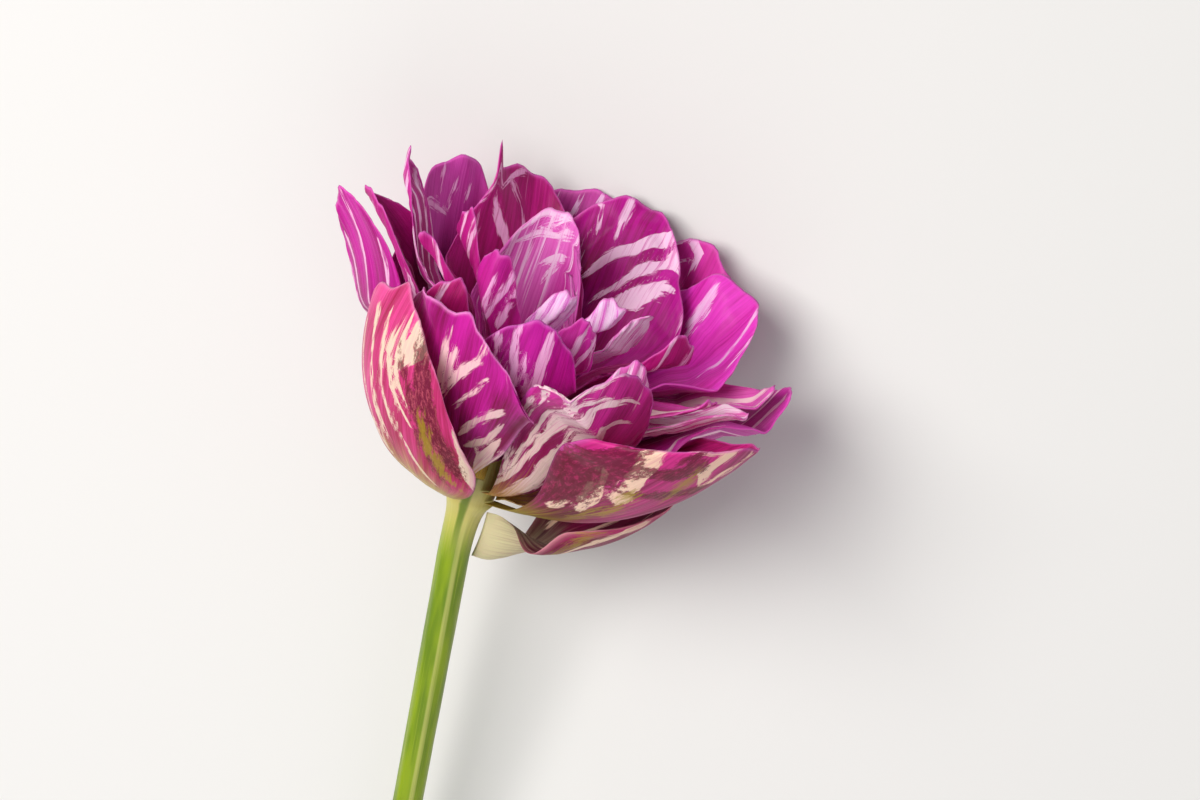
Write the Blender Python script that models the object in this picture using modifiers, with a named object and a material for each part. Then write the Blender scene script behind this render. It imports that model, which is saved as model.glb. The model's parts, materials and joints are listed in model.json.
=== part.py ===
"""Double late tulip, cut and laid down: a bloom of waved petals on a bare green stem.

Each petal is a grid bent over a curved midrib. The petals are placed from the outermost to
the innermost, and each one is bent inwards where it would meet one that is already there.
Lengths in the petal table are in millimetres, in the bloom's own frame: Z runs up the bloom,
azimuth 0 points to +X, and the stem leaves at the origin. The whole flower is then laid on
its back on the plane z = 0, with the cut end of the stem towards -X.
"""
import math

import bmesh
import bpy
import numpy as np

MM = 0.001
PETAL_THICKNESS = 0.64 * MM
STEM_TOP_RADIUS = 3.05
STEM_END_RADIUS = 2.45
STEM_LENGTH = 158.0
STEM_TURN = 8.4            # degrees between the bloom's axis and the stem
STEM_BEND = 14.0           # length over which the stem turns
RECEPTACLE_SIDES = 28
SEAT = 0.66                # from a claw's middle surface to the receptacle, radially
LYING_PITCH = 11.0         # degrees that the bloom's axis rises from the stem
PETAL_GAP = 1.25           # between the middle surfaces of two nested petals
PISTIL_RADIUS = 0.7
PISTIL_LENGTH = 4.5
PISTIL_SIDE = 0.9          # from the bloom's axis, away from the innermost petal

# Where the claws sit on the receptacle: radius and height of each row, lowest first.
ROWS = [(4.8, 0.9), (5.0, 3.2), (4.9, 5.5), (4.6, 7.8), (4.2, 10.1), (3.7, 12.4), (3.1, 14.7)]

LARGE, MEDIUM = (10, 11), (8, 9)

SHAPE = dict(row=0.0, az=0.0, reach=35.0, rise=42.0, slope=10.0, half=12.0, cells=MEDIUM,
             ease=0.8, flare=0.0, lean=0.0, cup=0.0, ruffle=1.0, waves=8.0, phase=0.0,
             notch=0.8, point=0.0, spike=0.0, crease=0.5, claw=None, round=0.36, corner=2.2,
             widest=0.66, top=0.92, wrap=14.0, base=None, tilt=0.6, twist=None,
             grow=1.7, gap=PETAL_GAP, shift=0.0, root=0.0, slant=0.0)

# Outermost first. row: seat on the receptacle. az: direction. reach, rise: tip's radius and height.
# slope: angle at the claw. half: half width. claw: half width at the seat. ease: where the midrib
# bends. twist: turn about the midrib in degrees. root: the same at the claw alone. cup: raised
# margins. lean: sideways sweep towards the tip in degrees. slant: one shoulder longer than the
# other. round, widest, top, grow: outline. gap: clearance that the petals inside it keep.
PETALS = {
    "petal_bract": dict(az=2, reach=36.5, rise=16.5, slope=0, half=12, base=(3.9, -7.0), claw=5.5,
                        cells=LARGE, phase=0.9, ease=1.0, wrap=30, cup=5, root=-75, shift=0.4),
    "petal_outer_front_right": dict(row=0, az=328, reach=52, rise=38, slope=12, half=20, claw=1.6,
                                    cells=LARGE, phase=1.3, ruffle=0.5, ease=1.0, grow=2.4, widest=0.95,
                                    round=0.28, cup=10, lean=1, tilt=-2, gap=1.6),
    "petal_outer_front_left": dict(row=0, az=216, reach=28.5, rise=40, slope=4, half=21, claw=1.5,
                                   cells=LARGE, phase=0.3, ruffle=0.4, grow=1.3, cup=2, point=2, gap=1.6),
    "petal_outer_left": dict(row=0, az=172, reach=43, rise=43.8, slope=18, half=11, claw=1.3, cells=LARGE,
                             phase=0.4, ease=0.6, flare=45, cup=1, lean=-4, twist=45),
    "petal_outer_back_left": dict(row=0, az=131, reach=36, rise=46, slope=8, half=16, claw=1.4,
                                  cells=LARGE, phase=4.6, ease=0.7, gap=1.4),
    "petal_outer_back": dict(row=0, az=86, reach=38, rise=51.3, slope=14, half=20, claw=1.4, cells=LARGE,
                             phase=3.1, ease=0.6, gap=2.4),
    "petal_outer_right": dict(row=0, az=8, reach=50, rise=38.5, slope=7, half=16, claw=1.4, cells=LARGE,
                              phase=2.2, ease=0.9, gap=1.4),
    "petal_outer_back_right": dict(row=0, az=50, reach=41.5, rise=51, slope=14, half=20.5, claw=1.2,
                                   cells=LARGE, phase=1.2, ease=0.7, gap=2.1),
    "petal_right_small": dict(row=1.0, az=14, reach=46.5, rise=39.5, slope=10, half=9, claw=1.4,
                              phase=2.7, ease=0.9, cup=2, lean=-10, gap=1.5),
    "petal_front_left": dict(row=1, az=245, reach=26.5, rise=42, slope=40, half=16, claw=1.3, phase=0.9,
                             ruffle=0.9, ease=0.7, grow=1.5, widest=0.9, round=0.2, point=1, lean=2,
                             gap=1.7, slant=0.14),
    "petal_front_right": dict(row=1, az=306, reach=33, rise=43.5, slope=18, half=13, claw=1.3,
                              cells=LARGE, phase=1.9, ruffle=0.6, grow=1.8, widest=0.97, round=0.3,
                              lean=2, gap=1.5),
    "petal_right_low": dict(row=1.5, az=343, reach=42.5, rise=37, slope=8, half=6, phase=5.4, ease=1.5,
                            cup=2, lean=6, twist=-25, gap=1.5),
    "petal_right_front_low": dict(row=2.4, az=338, reach=36.5, rise=38.5, slope=10, half=6.5, phase=4.4,
                                  ease=1.5, cup=2, lean=4, twist=-25, gap=1.2),
    "petal_back_right": dict(row=1.4, az=27, reach=43.2, rise=47, slope=26, half=20, claw=1.3,
                             cells=LARGE, phase=3.7, ease=0.65, lean=3, gap=2.0),
    "petal_back_left_tall": dict(row=1.2, az=138, reach=31, rise=54.5, slope=36, half=15, phase=3.4,
                                 ease=0.6, gap=1.4),
    "petal_left_curled": dict(row=2.2, az=172, reach=36.5, rise=49, slope=38, half=10, claw=1.0,
                              phase=2.4, ease=0.6, lean=4, twist=40),
    "petal_back_fan": dict(row=2.1, az=62, reach=36.5, rise=53, slope=26, half=19, cells=LARGE, phase=4.7,
                           ease=0.6, top=1.0, round=0.3, lean=8, gap=1.4),
    "petal_inner_front_right": dict(row=3.4, az=328, reach=26, rise=42, slope=27, half=7, phase=1.1,
                                    ease=1.2, lean=-5, twist=-35, gap=1.45),
    "petal_front_centre": dict(row=2, az=277, reach=19, rise=44.2, slope=46, half=13, claw=1.0, phase=1.4,
                               ease=1.0, grow=1.7),
    "petal_back_broad": dict(row=2.5, az=106, reach=32, rise=53.5, slope=36, half=17, cells=LARGE,
                             phase=5.7, ease=0.6, spike=7.0, lean=5),
    "petal_left_middle": dict(row=2.4, az=216, reach=19.5, rise=44.2, slope=42, half=7.5, phase=0.7,
                              ease=1.1, lean=6, twist=40, gap=1.5),
    "petal_right_dark": dict(row=4.1, az=2, reach=27.6, rise=43.5, slope=24, half=8, phase=2.9, ease=1.1,
                             twist=-40),
    "petal_left_narrow": dict(row=3.2, az=182, reach=34, rise=56, slope=30, half=6.5, claw=1.0, phase=1.7,
                              ruffle=0.5, ease=0.6, lean=-22, twist=30),
    "petal_inner_front": dict(row=4.5, az=298, reach=15, rise=44.7, slope=50, half=6.5, claw=0.8,
                              phase=2.1, ease=1.1, lean=12, twist=-20, gap=1.3),
    "petal_back_lobed": dict(row=3.4, az=94, reach=15, rise=53, slope=48, half=12, phase=3.9, twist=-16),
    "petal_inner_left": dict(row=4.2, az=206, reach=24.5, rise=47.2, slope=50, half=7.5, phase=5.9,
                             lean=-14, twist=45, gap=1.35),
    "petal_inner_right_pale": dict(row=5.3, az=0, reach=22.5, rise=46, slope=25, half=7, claw=0.7,
                                   phase=1.1, ruffle=0.7, ease=1.2, lean=-14, twist=-40, gap=1.7),
    "petal_inner_back_left": dict(row=4.8, az=165, reach=18, rise=52, slope=54, half=5.5, phase=0.2,
                                  lean=8, twist=38),
    "petal_inner_broad": dict(row=5.4, az=234, reach=11, rise=50, slope=54, half=7.5, claw=0.7, phase=4.9,
                              ease=1.1, lean=-12, twist=30, gap=1.35),
    "petal_heart_pale": dict(row=5.8, az=334, reach=14, rise=48, slope=46, half=7, claw=0.7, phase=3.2,
                             ease=1.2, lean=2, twist=-48, gap=1.5),
    "petal_heart": dict(row=6.0, az=285, reach=8, rise=46.9, slope=70, half=6, claw=1.2, phase=4.2,
                        ease=1.2, wrap=6, lean=20, twist=0, gap=1.25),
}


def smooth(x, low=0.0, high=1.0):
    t = np.clip((x - low) / (high - low), 0.0, 1.0)
    return t * t * (3.0 - 2.0 * t)


def full_shape(given):
    """A petal's values with the defaults that its kind has."""
    p = dict(SHAPE)
    if given.get("twist") is not None:
        p.update(wrap=30.0, cup=2.5, tilt=0.0)
    p.update(given)
    p["twist"] = p["twist"] or 0.0
    if p["claw"] is None:
        p["claw"] = 2.0 if p["row"] < 2 else 1.2
    if p["base"] is None:
        low = min(int(p["row"]), len(ROWS) - 1)
        high = min(low + 1, len(ROWS) - 1)
        f = min(p["row"] - low, 1.0)
        p["base"] = tuple(ROWS[low][k] * (1 - f) + ROWS[high][k] * f for k in (0, 1))
    return p


# One petal
STEPS = np.linspace(0.0, 1.12, 113)


def unit_midrib(slope, end, ease, flare):
    angle = np.radians(slope + (end - slope) * STEPS ** ease - flare * smooth(STEPS, 0.62, 1.0))
    mid = (angle[1:] + angle[:-1]) / 2
    step = STEPS[1] - STEPS[0]
    out = np.concatenate([[0.0], np.cumsum(np.cos(mid) * step)])
    up = np.concatenate([[0.0], np.cumsum(np.sin(mid) * step)])
    return angle, out, up


def midrib(p):
    """The midrib's angle, radius and height along it, bent so that it ends at the tip."""
    base, tip = p["base"], (p["reach"], p["rise"])
    want = math.atan2(tip[1] - base[1], tip[0] - base[0])
    low, high = p["slope"] - 60.0, p["slope"] + 230.0
    for _ in range(40):
        end = (low + high) / 2
        angle, out, up = unit_midrib(p["slope"], end, p["ease"], p["flare"])
        if math.atan2(up[100], out[100]) < want:
            low = end
        else:
            high = end
    length = math.dist(base, tip) / math.hypot(out[100], up[100])
    return angle, base[0] + out * length, base[1] + up * length, length


def petal_points(p, u, v):
    """Points of the petal's middle surface: u from -1 to 1 across, v from 0 to 1 along it."""
    angle, out, up, length = midrib(p)
    half, seed = p["half"], p["phase"]
    edge = smooth(v, 0.7, 1.0)
    frill = (0.5 * np.sin(9.3 * u + seed) + 0.35 * np.sin(17.1 * u + 2.3 * seed)
             + 0.3 * np.sin(5.1 * u - seed))
    rim = 1.0 - p["round"] * np.abs(u) ** p["corner"] + p["notch"] / length * frill * edge
    rim = rim - p["slant"] * u * edge
    rim = rim + p["point"] / length * np.exp(-(u / 0.09) ** 2) * edge
    rim = rim + p["spike"] / length * np.exp(-((u - 0.4) / 0.05) ** 2) * smooth(v, 0.88, 1.0)
    t = v * rim
    narrow = p["claw"] / half
    open_out = np.sin(np.pi / 2 * np.clip(v / p["widest"], 0, 1)) ** p["grow"]
    close_in = 1 - (1 - p["top"]) * np.clip((v - p["widest"]) / (1 - p["widest"]), 0, 1) ** 2
    w = u * half * (narrow + (1 - narrow) * open_out) * close_in
    r, a, phi = (np.interp(t, STEPS, k) for k in (out, up, angle))

    around = np.arctan2(u * half, (v - 0.22) * length * 0.75)
    near = np.maximum(np.abs(u) ** 2.2 * smooth(v, 0.08, 0.6), v ** 2.2) ** 1.3
    d = p["ruffle"] * near * (np.sin(p["waves"] * around + seed)
                              + 0.45 * np.sin(1.7 * p["waves"] * around + 2.1 * seed + 1.0))
    d = d + p["cup"] * u ** 2 * smooth(v, 0.1, 0.8)
    d = d - p["crease"] * np.exp(-(u / 0.13) ** 2) * smooth(v, 0.12, 0.4) * (1 - smooth(v, 0.7, 1.0))
    d = d + p["tilt"] * u * smooth(v, 0.0, 0.5)
    turn = np.radians(p["twist"] * smooth(v, 0.0, 0.55) + p["root"] * (1 - smooth(v, 0.02, 0.5)))
    w, d = w * np.cos(turn) - d * np.sin(turn), w * np.sin(turn) + d * np.cos(turn)

    bend = np.maximum(r, p["wrap"] * smooth(v, 0.03, 0.35) + 0.01)
    bend = np.where(v <= 0.0, max(p["base"][0], 0.5), bend)
    psi = math.radians(p["az"]) + np.radians(p["lean"]) * t ** 1.5
    side = psi + w / bend
    radius = bend - np.sin(phi) * d
    return np.stack([(r - bend) * np.cos(psi) + radius * np.cos(side) + p["shift"],
                     (r - bend) * np.sin(psi) + radius * np.sin(side),
                     a + np.cos(phi) * d], -1)


# Nesting: how far out a petal may lie in each direction, seen from just under the bloom
TURNS, SHELLS, FAR = 180, 80, 9.0
EYE = np.array([0.0, 0.0, -1.0])
SHELL = np.arange(SHELLS) + 0.5


def to_polar(points):
    q = points - EYE
    flat = np.hypot(q[..., 0], q[..., 1])
    return np.arctan2(q[..., 1], q[..., 0]), np.hypot(flat, q[..., 2]), np.arctan2(flat, q[..., 2])


def from_polar(az, rho, lean):
    return EYE + np.stack([rho * np.sin(lean) * np.cos(az), rho * np.sin(lean) * np.sin(az),
                           rho * np.cos(lean)], -1)


def moved(limit, s):
    """The limit map shifted s shells up or down, with nothing coming in."""
    out = np.full_like(limit, FAR)
    if s > 0:
        out[:, s:] = limit[:, :-s]
    else:
        out[:, :s] = limit[:, -s:]
    return out


def spread(limit, leaning):
    """Widen a petal's limit by its neighbourhood, then let it fade out in a slope."""
    cell = 2 * math.pi / TURNS
    out = limit.copy()
    for s in range(1, 60):
        near = s * cell * SHELL * leaning <= 3.0 * (0.2 + 0.8 * smooth(SHELL, 10.0, 24.0))
        if not near.any():
            break
        both = np.minimum(np.roll(limit, s, 0), np.roll(limit, -s, 0))
        out = np.where(near[None, :], np.minimum(out, both), out)
    limit = out.copy()
    for s in (1, 2, 3):
        both = np.minimum(moved(limit, s), moved(limit, -s))
        out = np.where((SHELL > 10.0 * s)[None, :], np.minimum(out, both), out)
    for _ in range(40):
        out = np.minimum(out, np.minimum(np.roll(out, 1, 0), np.roll(out, -1, 0)) + 0.7 * leaning * cell)
        out = np.minimum(out, np.minimum(moved(out, 1), moved(out, -1)) + 0.6 / SHELL)
    return out


def read_limit(limit, az, rho):
    x = (az / (2 * math.pi) * TURNS) % TURNS
    y = np.clip(rho - 0.5, 0, SHELLS - 1.001)
    i, j = np.floor(x).astype(int) % TURNS, np.floor(y).astype(int)
    f, g = x - np.floor(x), y - j
    k = (i + 1) % TURNS
    return ((limit[i, j] * (1 - f) + limit[k, j] * f) * (1 - g)
            + (limit[i, j + 1] * (1 - f) + limit[k, j + 1] * f) * g)


def bent_clear(points, limit, p):
    """Bend points inwards, smoothly, to where the limit lets them be."""
    az, rho, lean = to_polar(points)
    allowed = read_limit(limit, az, rho)
    soft = 0.25 / np.maximum(rho, 3.0)
    inside = allowed - soft * np.log1p(np.exp(np.clip((allowed - lean) / soft, -40, 40)))
    seat = math.hypot(p["base"][0], p["base"][1] - EYE[2])
    free = smooth(rho, seat + 0.2, seat + 2.0)
    bent = lean + (np.minimum(inside, lean) - lean) * free
    return from_polar(az, rho, np.where(allowed > FAR - 3, lean, bent))


def nest(shapes):
    """The limit that each petal has to keep to, by name."""
    limit = np.full((TURNS, SHELLS), FAR)
    v, u = np.meshgrid(np.linspace(0, 1, 65), np.linspace(-1, 1, 65), indexing="ij")
    limits = {}
    for name, p in shapes.items():
        limits[name] = limit.copy()
        az, rho, lean = to_polar(bent_clear(petal_points(p, u, v), limit, p))
        i = np.floor((az / (2 * math.pi) * TURNS) % TURNS).astype(int) % TURNS
        j = np.clip(np.floor(rho).astype(int), 0, SHELLS - 1)
        gap = p["gap"] * (0.6 + 0.4 * smooth(rho, 10.0, 24.0))
        own = np.full_like(limit, FAR)
        np.minimum.at(own, (i, j), lean - gap / np.maximum(rho, 2.0))
        limit = np.minimum(limit, spread(own, max(float(np.sin(lean).mean()), 0.15)))
    return limits


# Stem
def stem_centre(s, fall=0.0):
    """Centre line of the stem at s mm below the bloom, in the bloom's frame.

    fall is how far the cut end sinks sideways, towards the bloom's back.
    """
    turn = math.radians(STEM_TURN)
    bend = min(s, STEM_BEND)
    rest = max(s - STEM_BEND, 0.0)
    angle = turn * bend / STEM_BEND
    x = STEM_BEND / turn * (1 - math.cos(angle)) + rest * math.sin(turn)
    z = -STEM_BEND / turn * math.sin(angle) - rest * math.cos(turn)
    return x, float(fall * smooth(np.array(s / STEM_LENGTH), 0.1, 1.0)), z


def stem_radius(s):
    taper = STEM_TOP_RADIUS + (STEM_END_RADIUS - STEM_TOP_RADIUS) * s / STEM_LENGTH
    return taper + 0.75 * math.exp(-s / 4.0)


# Scene helpers
def new_collection(name):
    made = bpy.data.collections.new(name)
    bpy.context.scene.collection.children.link(made)
    return made


def material(name, colour, roughness):
    made = bpy.data.materials.new(name)
    made.use_nodes = True
    shader = made.node_tree.nodes["Principled BSDF"]
    shader.inputs["Base Color"].default_value = (*colour, 1.0)
    shader.inputs["Roughness"].default_value = roughness
    made.diffuse_color = (*colour, 1.0)
    return made


def add_object(name, mesh, collection, looks):
    made = bpy.data.objects.new(name, mesh)
    collection.objects.link(made)
    mesh.materials.append(looks)
    return made


PETAL_COLOURS = {
    "petal_bract": (0.55, 0.08, 0.28),
    "petal_outer_front_left": (0.72, 0.34, 0.42),
    "petal_outer_front_right": (0.60, 0.12, 0.30),
    "petal_right_dark": (0.42, 0.005, 0.24),
    "petal_left_curled": (0.30, 0.01, 0.17),
    "petal_inner_right_pale": (0.78, 0.42, 0.66),
    "petal_heart_pale": (0.76, 0.40, 0.64),
    "petal_heart": (0.76, 0.45, 0.66),
    "petal_back_lobed": (0.74, 0.26, 0.58),
    "petal_back_fan": (0.66, 0.16, 0.42),
}
MAGENTA = (0.55, 0.03, 0.33)


def petal_mesh(name, p, limit, place):
    """A bent grid, split into triangles before it gets its thickness."""
    across, along = p["cells"]
    bm = bmesh.new()
    bmesh.ops.create_grid(bm, x_segments=across, y_segments=along, size=1.0)
    flat = np.array([v.co[:] for v in bm.verts])
    points = bent_clear(petal_points(p, flat[:, 0], (flat[:, 1] + 1) / 2), limit, p)
    for vert, co in zip(bm.verts, place(points)):
        vert.co = co
    # the cuts fan out with the veins, so that each rounded corner is cut through its own point
    halves = {"ALTERNATE": [], "FIXED": []}
    for face in bm.faces:
        on_right = flat[face.verts[0].index][0] + flat[face.verts[2].index][0] > 0
        halves["FIXED" if on_right else "ALTERNATE"].append(face)
    for cut, faces in halves.items():
        bmesh.ops.triangulate(bm, faces=faces, quad_method=cut)
    for face in bm.faces:
        face.smooth = True
    mesh = bpy.data.meshes.new(name)
    bm.to_mesh(mesh)
    bm.free()
    return mesh


def all_petal_points(shapes, limits, count=25):
    v, u = np.meshgrid(np.linspace(0, 1, count), np.linspace(-1, 1, count), indexing="ij")
    return {name: bent_clear(petal_points(p, u, v), limits[name], p).reshape(-1, 3)
            for name, p in shapes.items()}


def lying_frame(cloud):
    """Turn of the flower about its own axis at which the bloom rests on two petals."""
    pitch = math.radians(LYING_PITCH)
    points = np.concatenate(list(cloud.values()))
    middle = points.mean(0)

    def axes(roll):
        side, back = np.array([0.0, -1.0, 0.0]), np.array([math.sin(pitch), 0.0, -math.cos(pitch)])
        c, s = math.cos(roll), math.sin(roll)
        return np.stack([c * side + s * back, c * back - s * side,
                         np.array([math.cos(pitch), 0.0, math.sin(pitch)])])

    def height(roll):
        frame = axes(roll)
        return (middle @ frame)[2] - (points @ frame)[:, 2].min()

    rolls = np.radians(np.arange(-30.0, 30.01, 0.1))
    return axes(rolls[int(np.argmin([height(r) for r in rolls]))])


def clean_mesh(mesh, edit=None):
    """Weld a mesh's loose caps, move its points if asked and turn its faces outwards."""
    bm = bmesh.new()
    bm.from_mesh(mesh)
    bmesh.ops.remove_doubles(bm, verts=bm.verts[:], dist=1e-6)
    if edit:
        for vert in bm.verts:
            vert.co = edit(vert.co)
    bmesh.ops.recalc_face_normals(bm, faces=bm.faces[:])
    bm.to_mesh(mesh)
    bm.free()
    return mesh


def baked(obj):
    """The mesh that an object's curve or modifiers give, with the object itself removed."""
    mesh = bpy.data.meshes.new_from_object(obj.evaluated_get(bpy.context.evaluated_depsgraph_get()))
    bpy.data.objects.remove(obj)
    mesh.materials.clear()
    return mesh


def make_petal(name, p, limit, place, flower):
    looks = material(name, PETAL_COLOURS.get(name, MAGENTA), 0.55)
    made = add_object(name, petal_mesh(name, p, limit, place), flower, looks)
    skin = made.modifiers.new("thickness", "SOLIDIFY")
    skin.thickness = PETAL_THICKNESS
    skin.offset = 0.0


def make_stem(place, fall, flower):
    """A tube along the stem's centre line, with the stem's own taper."""
    curve = bpy.data.curves.new("stem_line", "CURVE")
    curve.dimensions = "3D"
    curve.bevel_depth = 1.0 * MM
    curve.bevel_resolution = 4
    curve.use_fill_caps = True
    spline = curve.splines.new("POLY")
    stations = [1.5, 3.5, 6.0, 9.0, 12.0, 16.0, 22.0, 30.0]
    stations += [30.0 + k * (STEM_LENGTH - 30.0) / 14 for k in range(1, 15)]
    spline.points.add(len(stations))
    spline.points[0].co = (*place([(0.0, 0.0, 0.3)])[0], 1.0)
    spline.points[0].radius = stem_radius(0.0)
    for point, s in zip(spline.points[1:], stations):
        point.co = (*place([stem_centre(s, fall)])[0], 1.0)
        point.radius = stem_radius(s)
    rod = bpy.data.objects.new("stem_line", curve)
    flower.objects.link(rod)
    return add_object("stem", clean_mesh(baked(rod)), flower, material("stem", (0.30, 0.42, 0.05), 0.5))


def join_receptacle(stem, place, flower):
    """A turned cone on top of the stem that carries the claws."""
    top = ROWS[-1][1] + 0.35
    profile = [(0.0, top), (ROWS[-1][0] - SEAT - 0.5, top)]
    profile += [(r - SEAT, h) for r, h in reversed(ROWS)]
    profile += [(ROWS[0][0] - SEAT, -0.3), (STEM_TOP_RADIUS + 0.8, -1.2), (STEM_TOP_RADIUS + 0.3, -3.2),
                (0.0, -3.2)]
    outline = bpy.data.meshes.new("receptacle")
    outline.from_pydata([(r * MM, 0.0, h * MM) for r, h in profile],
                        [(k, k + 1) for k in range(len(profile) - 1)], [])
    turned = bpy.data.objects.new("receptacle", outline)
    flower.objects.link(turned)
    screw = turned.modifiers.new("turned", "SCREW")
    screw.steps = screw.render_steps = RECEPTACLE_SIDES
    screw.use_merge_vertices = True
    screw.merge_threshold = 0.00001
    solid = clean_mesh(baked(turned), lambda co: place([np.array(co[:]) / MM])[0])
    cone = add_object("receptacle_cone", solid, new_collection("joined_pieces"), stem.data.materials[0])
    cone.hide_render = True
    cone.display_type = "WIRE"
    join = stem.modifiers.new("receptacle", "BOOLEAN")
    join.operation = "UNION"
    join.object = cone


def make_pistil(place, flower):
    """A short three-sided ovary with a three-lobed stigma, hidden in the heart."""
    mesh = bpy.data.meshes.new("pistil")
    bm = bmesh.new()
    bmesh.ops.create_cone(bm, cap_ends=True, segments=18, radius1=PISTIL_RADIUS, radius2=PISTIL_RADIUS,
                          depth=PISTIL_LENGTH)
    upright = [e for e in bm.edges if abs(e.verts[0].co.z - e.verts[1].co.z) > 1.0]
    bmesh.ops.subdivide_edges(bm, edges=upright, cuts=5, use_grid_fill=True)
    base = ROWS[-1][1] + 0.65
    for vert in bm.verts:
        t = vert.co.z / PISTIL_LENGTH + 0.5
        stigma = float(smooth(np.array(t), 0.7, 1.0))
        lobe = 1 + (0.08 + 0.2 * stigma) * math.cos(3 * math.atan2(vert.co.y, vert.co.x))
        wide = lobe * (1.0 - 0.25 * math.sin(math.pi * t) ** 2 + 0.2 * stigma)
        vert.co = place([(vert.co.x * wide, vert.co.y * wide + PISTIL_SIDE, base + PISTIL_LENGTH * t)])[0]
    bmesh.ops.recalc_face_normals(bm, faces=bm.faces[:])
    bm.to_mesh(mesh)
    bm.free()
    return add_object("pistil", mesh, flower, material("pistil", (0.45, 0.50, 0.12), 0.5))


def main():
    for old in list(bpy.data.objects):
        bpy.data.objects.remove(old, do_unlink=True)
    flower = new_collection("double_tulip")
    shapes = {name: full_shape(given) for name, given in PETALS.items()}
    limits = nest(shapes)
    cloud = all_petal_points(shapes, limits)
    frame = lying_frame(cloud)

    # the stem's end is let down until it touches the plane that the bloom rests on
    floor = min((points @ frame)[:, 2].min() for points in cloud.values()) - PETAL_THICKNESS / MM / 2
    end = np.array(stem_centre(STEM_LENGTH))
    fall = ((end @ frame)[2] - STEM_END_RADIUS - floor) / -frame[1][2]
    ends = np.concatenate([*cloud.values(), [end]]) @ frame
    centre = (ends.min(0) + ends.max(0)) / 2
    centre[2] = floor

    def place(points):
        return (np.asarray(points, float) @ frame - centre) * MM

    for name, p in shapes.items():
        make_petal(name, p, limits[name], place, flower)
    stem = make_stem(place, fall, flower)
    join_receptacle(stem, place, flower)
    pistil = make_pistil(place, flower)
    for round_piece in (stem, pistil):
        round_piece.data.shade_smooth()
        round_piece.data.set_sharp_from_angle(angle=math.radians(50))


if __name__ == "__main__":
    main()
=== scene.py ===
"""Dresses the lying double tulip: fine waved petals with flamed colours, a ribbed stem, a plain studio.

The petals follow the same formula as the solids, on a finer grid. Lengths in the petal table are in
millimetres, in the bloom's own frame; everything is placed in metres in the flower's lying frame.
"""
import json
import math

import bmesh
import bpy
import numpy as np
from mathutils import Matrix, Vector

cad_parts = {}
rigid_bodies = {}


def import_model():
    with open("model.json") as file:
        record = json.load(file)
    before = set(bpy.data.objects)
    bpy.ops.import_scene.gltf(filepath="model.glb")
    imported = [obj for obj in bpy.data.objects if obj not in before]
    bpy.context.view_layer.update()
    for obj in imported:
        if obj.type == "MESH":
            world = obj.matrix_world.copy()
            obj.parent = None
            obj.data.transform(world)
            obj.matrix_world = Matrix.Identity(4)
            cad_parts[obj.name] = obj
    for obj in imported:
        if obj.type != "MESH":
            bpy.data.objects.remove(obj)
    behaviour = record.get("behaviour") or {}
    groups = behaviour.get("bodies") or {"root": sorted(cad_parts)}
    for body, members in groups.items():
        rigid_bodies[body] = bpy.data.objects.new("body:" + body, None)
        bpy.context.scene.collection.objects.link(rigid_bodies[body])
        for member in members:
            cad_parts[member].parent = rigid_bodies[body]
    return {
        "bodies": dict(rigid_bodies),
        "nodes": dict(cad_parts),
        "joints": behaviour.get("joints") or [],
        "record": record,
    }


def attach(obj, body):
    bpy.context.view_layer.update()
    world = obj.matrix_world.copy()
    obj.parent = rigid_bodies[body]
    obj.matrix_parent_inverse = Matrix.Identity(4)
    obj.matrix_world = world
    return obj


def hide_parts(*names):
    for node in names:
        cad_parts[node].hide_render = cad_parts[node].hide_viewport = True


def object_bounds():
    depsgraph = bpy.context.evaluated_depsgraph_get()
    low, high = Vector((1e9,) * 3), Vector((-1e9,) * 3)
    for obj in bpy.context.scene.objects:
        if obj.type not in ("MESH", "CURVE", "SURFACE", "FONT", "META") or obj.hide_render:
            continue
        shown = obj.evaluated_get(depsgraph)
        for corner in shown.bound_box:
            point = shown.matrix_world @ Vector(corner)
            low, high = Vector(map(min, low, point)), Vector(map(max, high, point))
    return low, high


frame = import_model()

cad_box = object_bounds()

MM = 0.001

# The stem, in millimetres and degrees
STEM_TOP_RADIUS = 3.05
STEM_END_RADIUS = 2.45
STEM_LENGTH = 158.0
STEM_TURN = 8.4            # between the bloom's axis and the stem
STEM_BEND = 14.0           # length over which the stem turns
STEM_AROUND = 64           # points round the stem
RECEPTACLE_RINGS, STEM_RINGS = 24, 130
CAP_ROWS = ((0.0, 0.6), (0.01, 0.4), (0.08, 0.18), (0.22, 0.04))    # sink and inset at a rounded end
CLAW_FIT = 0.25            # from a claw's middle surface to the finer receptacle, which meets the claws
STUB = 0.62                # height of the receptacle above the last row of claws, up to the pistil
STEM_RIBS = 7.0
STEM_RIB_HEIGHT = 0.04
STEM_UNEVENNESS = 0.08
PISTIL_GRAINS = 900.0      # to a metre

# The petals, in millimetres
PETAL_GAP = 1.25           # between the middle surfaces of two nested petals
SOLID_THICKNESS = 0.64     # of the plain petals that these ones stand for
FLESH = 0.42               # thickness of a petal's middle, thinning to nothing at its margin
MARGIN = 1.1               # width of the thinning margin
RIB_HEIGHT = 0.2           # of the fine ribs along a petal
RIBS_ACROSS = 14.0         # across half a petal
VEINS_ACROSS = 36.0        # finer lines of the skin's relief, across half a petal
FRILL_HEIGHT = 0.4         # of the waves in a petal's margin
FRILL_WIDTH = 7.0          # how far in from the margin a petal is frilled
NICK = 0.09                # how deep each of three waves of nicks cuts a rim
LOBES = 8                  # finger lobes along the whole side of a lobed petal
TAPER = 3.5                # length over which a streak runs out, in its own half widths
FINEST_STREAK = 0.35       # half width of the thinnest flame that the fine grid still shows
FAR_OUT = 5.0              # how far outside every streak a petal without streaks reads

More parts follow.
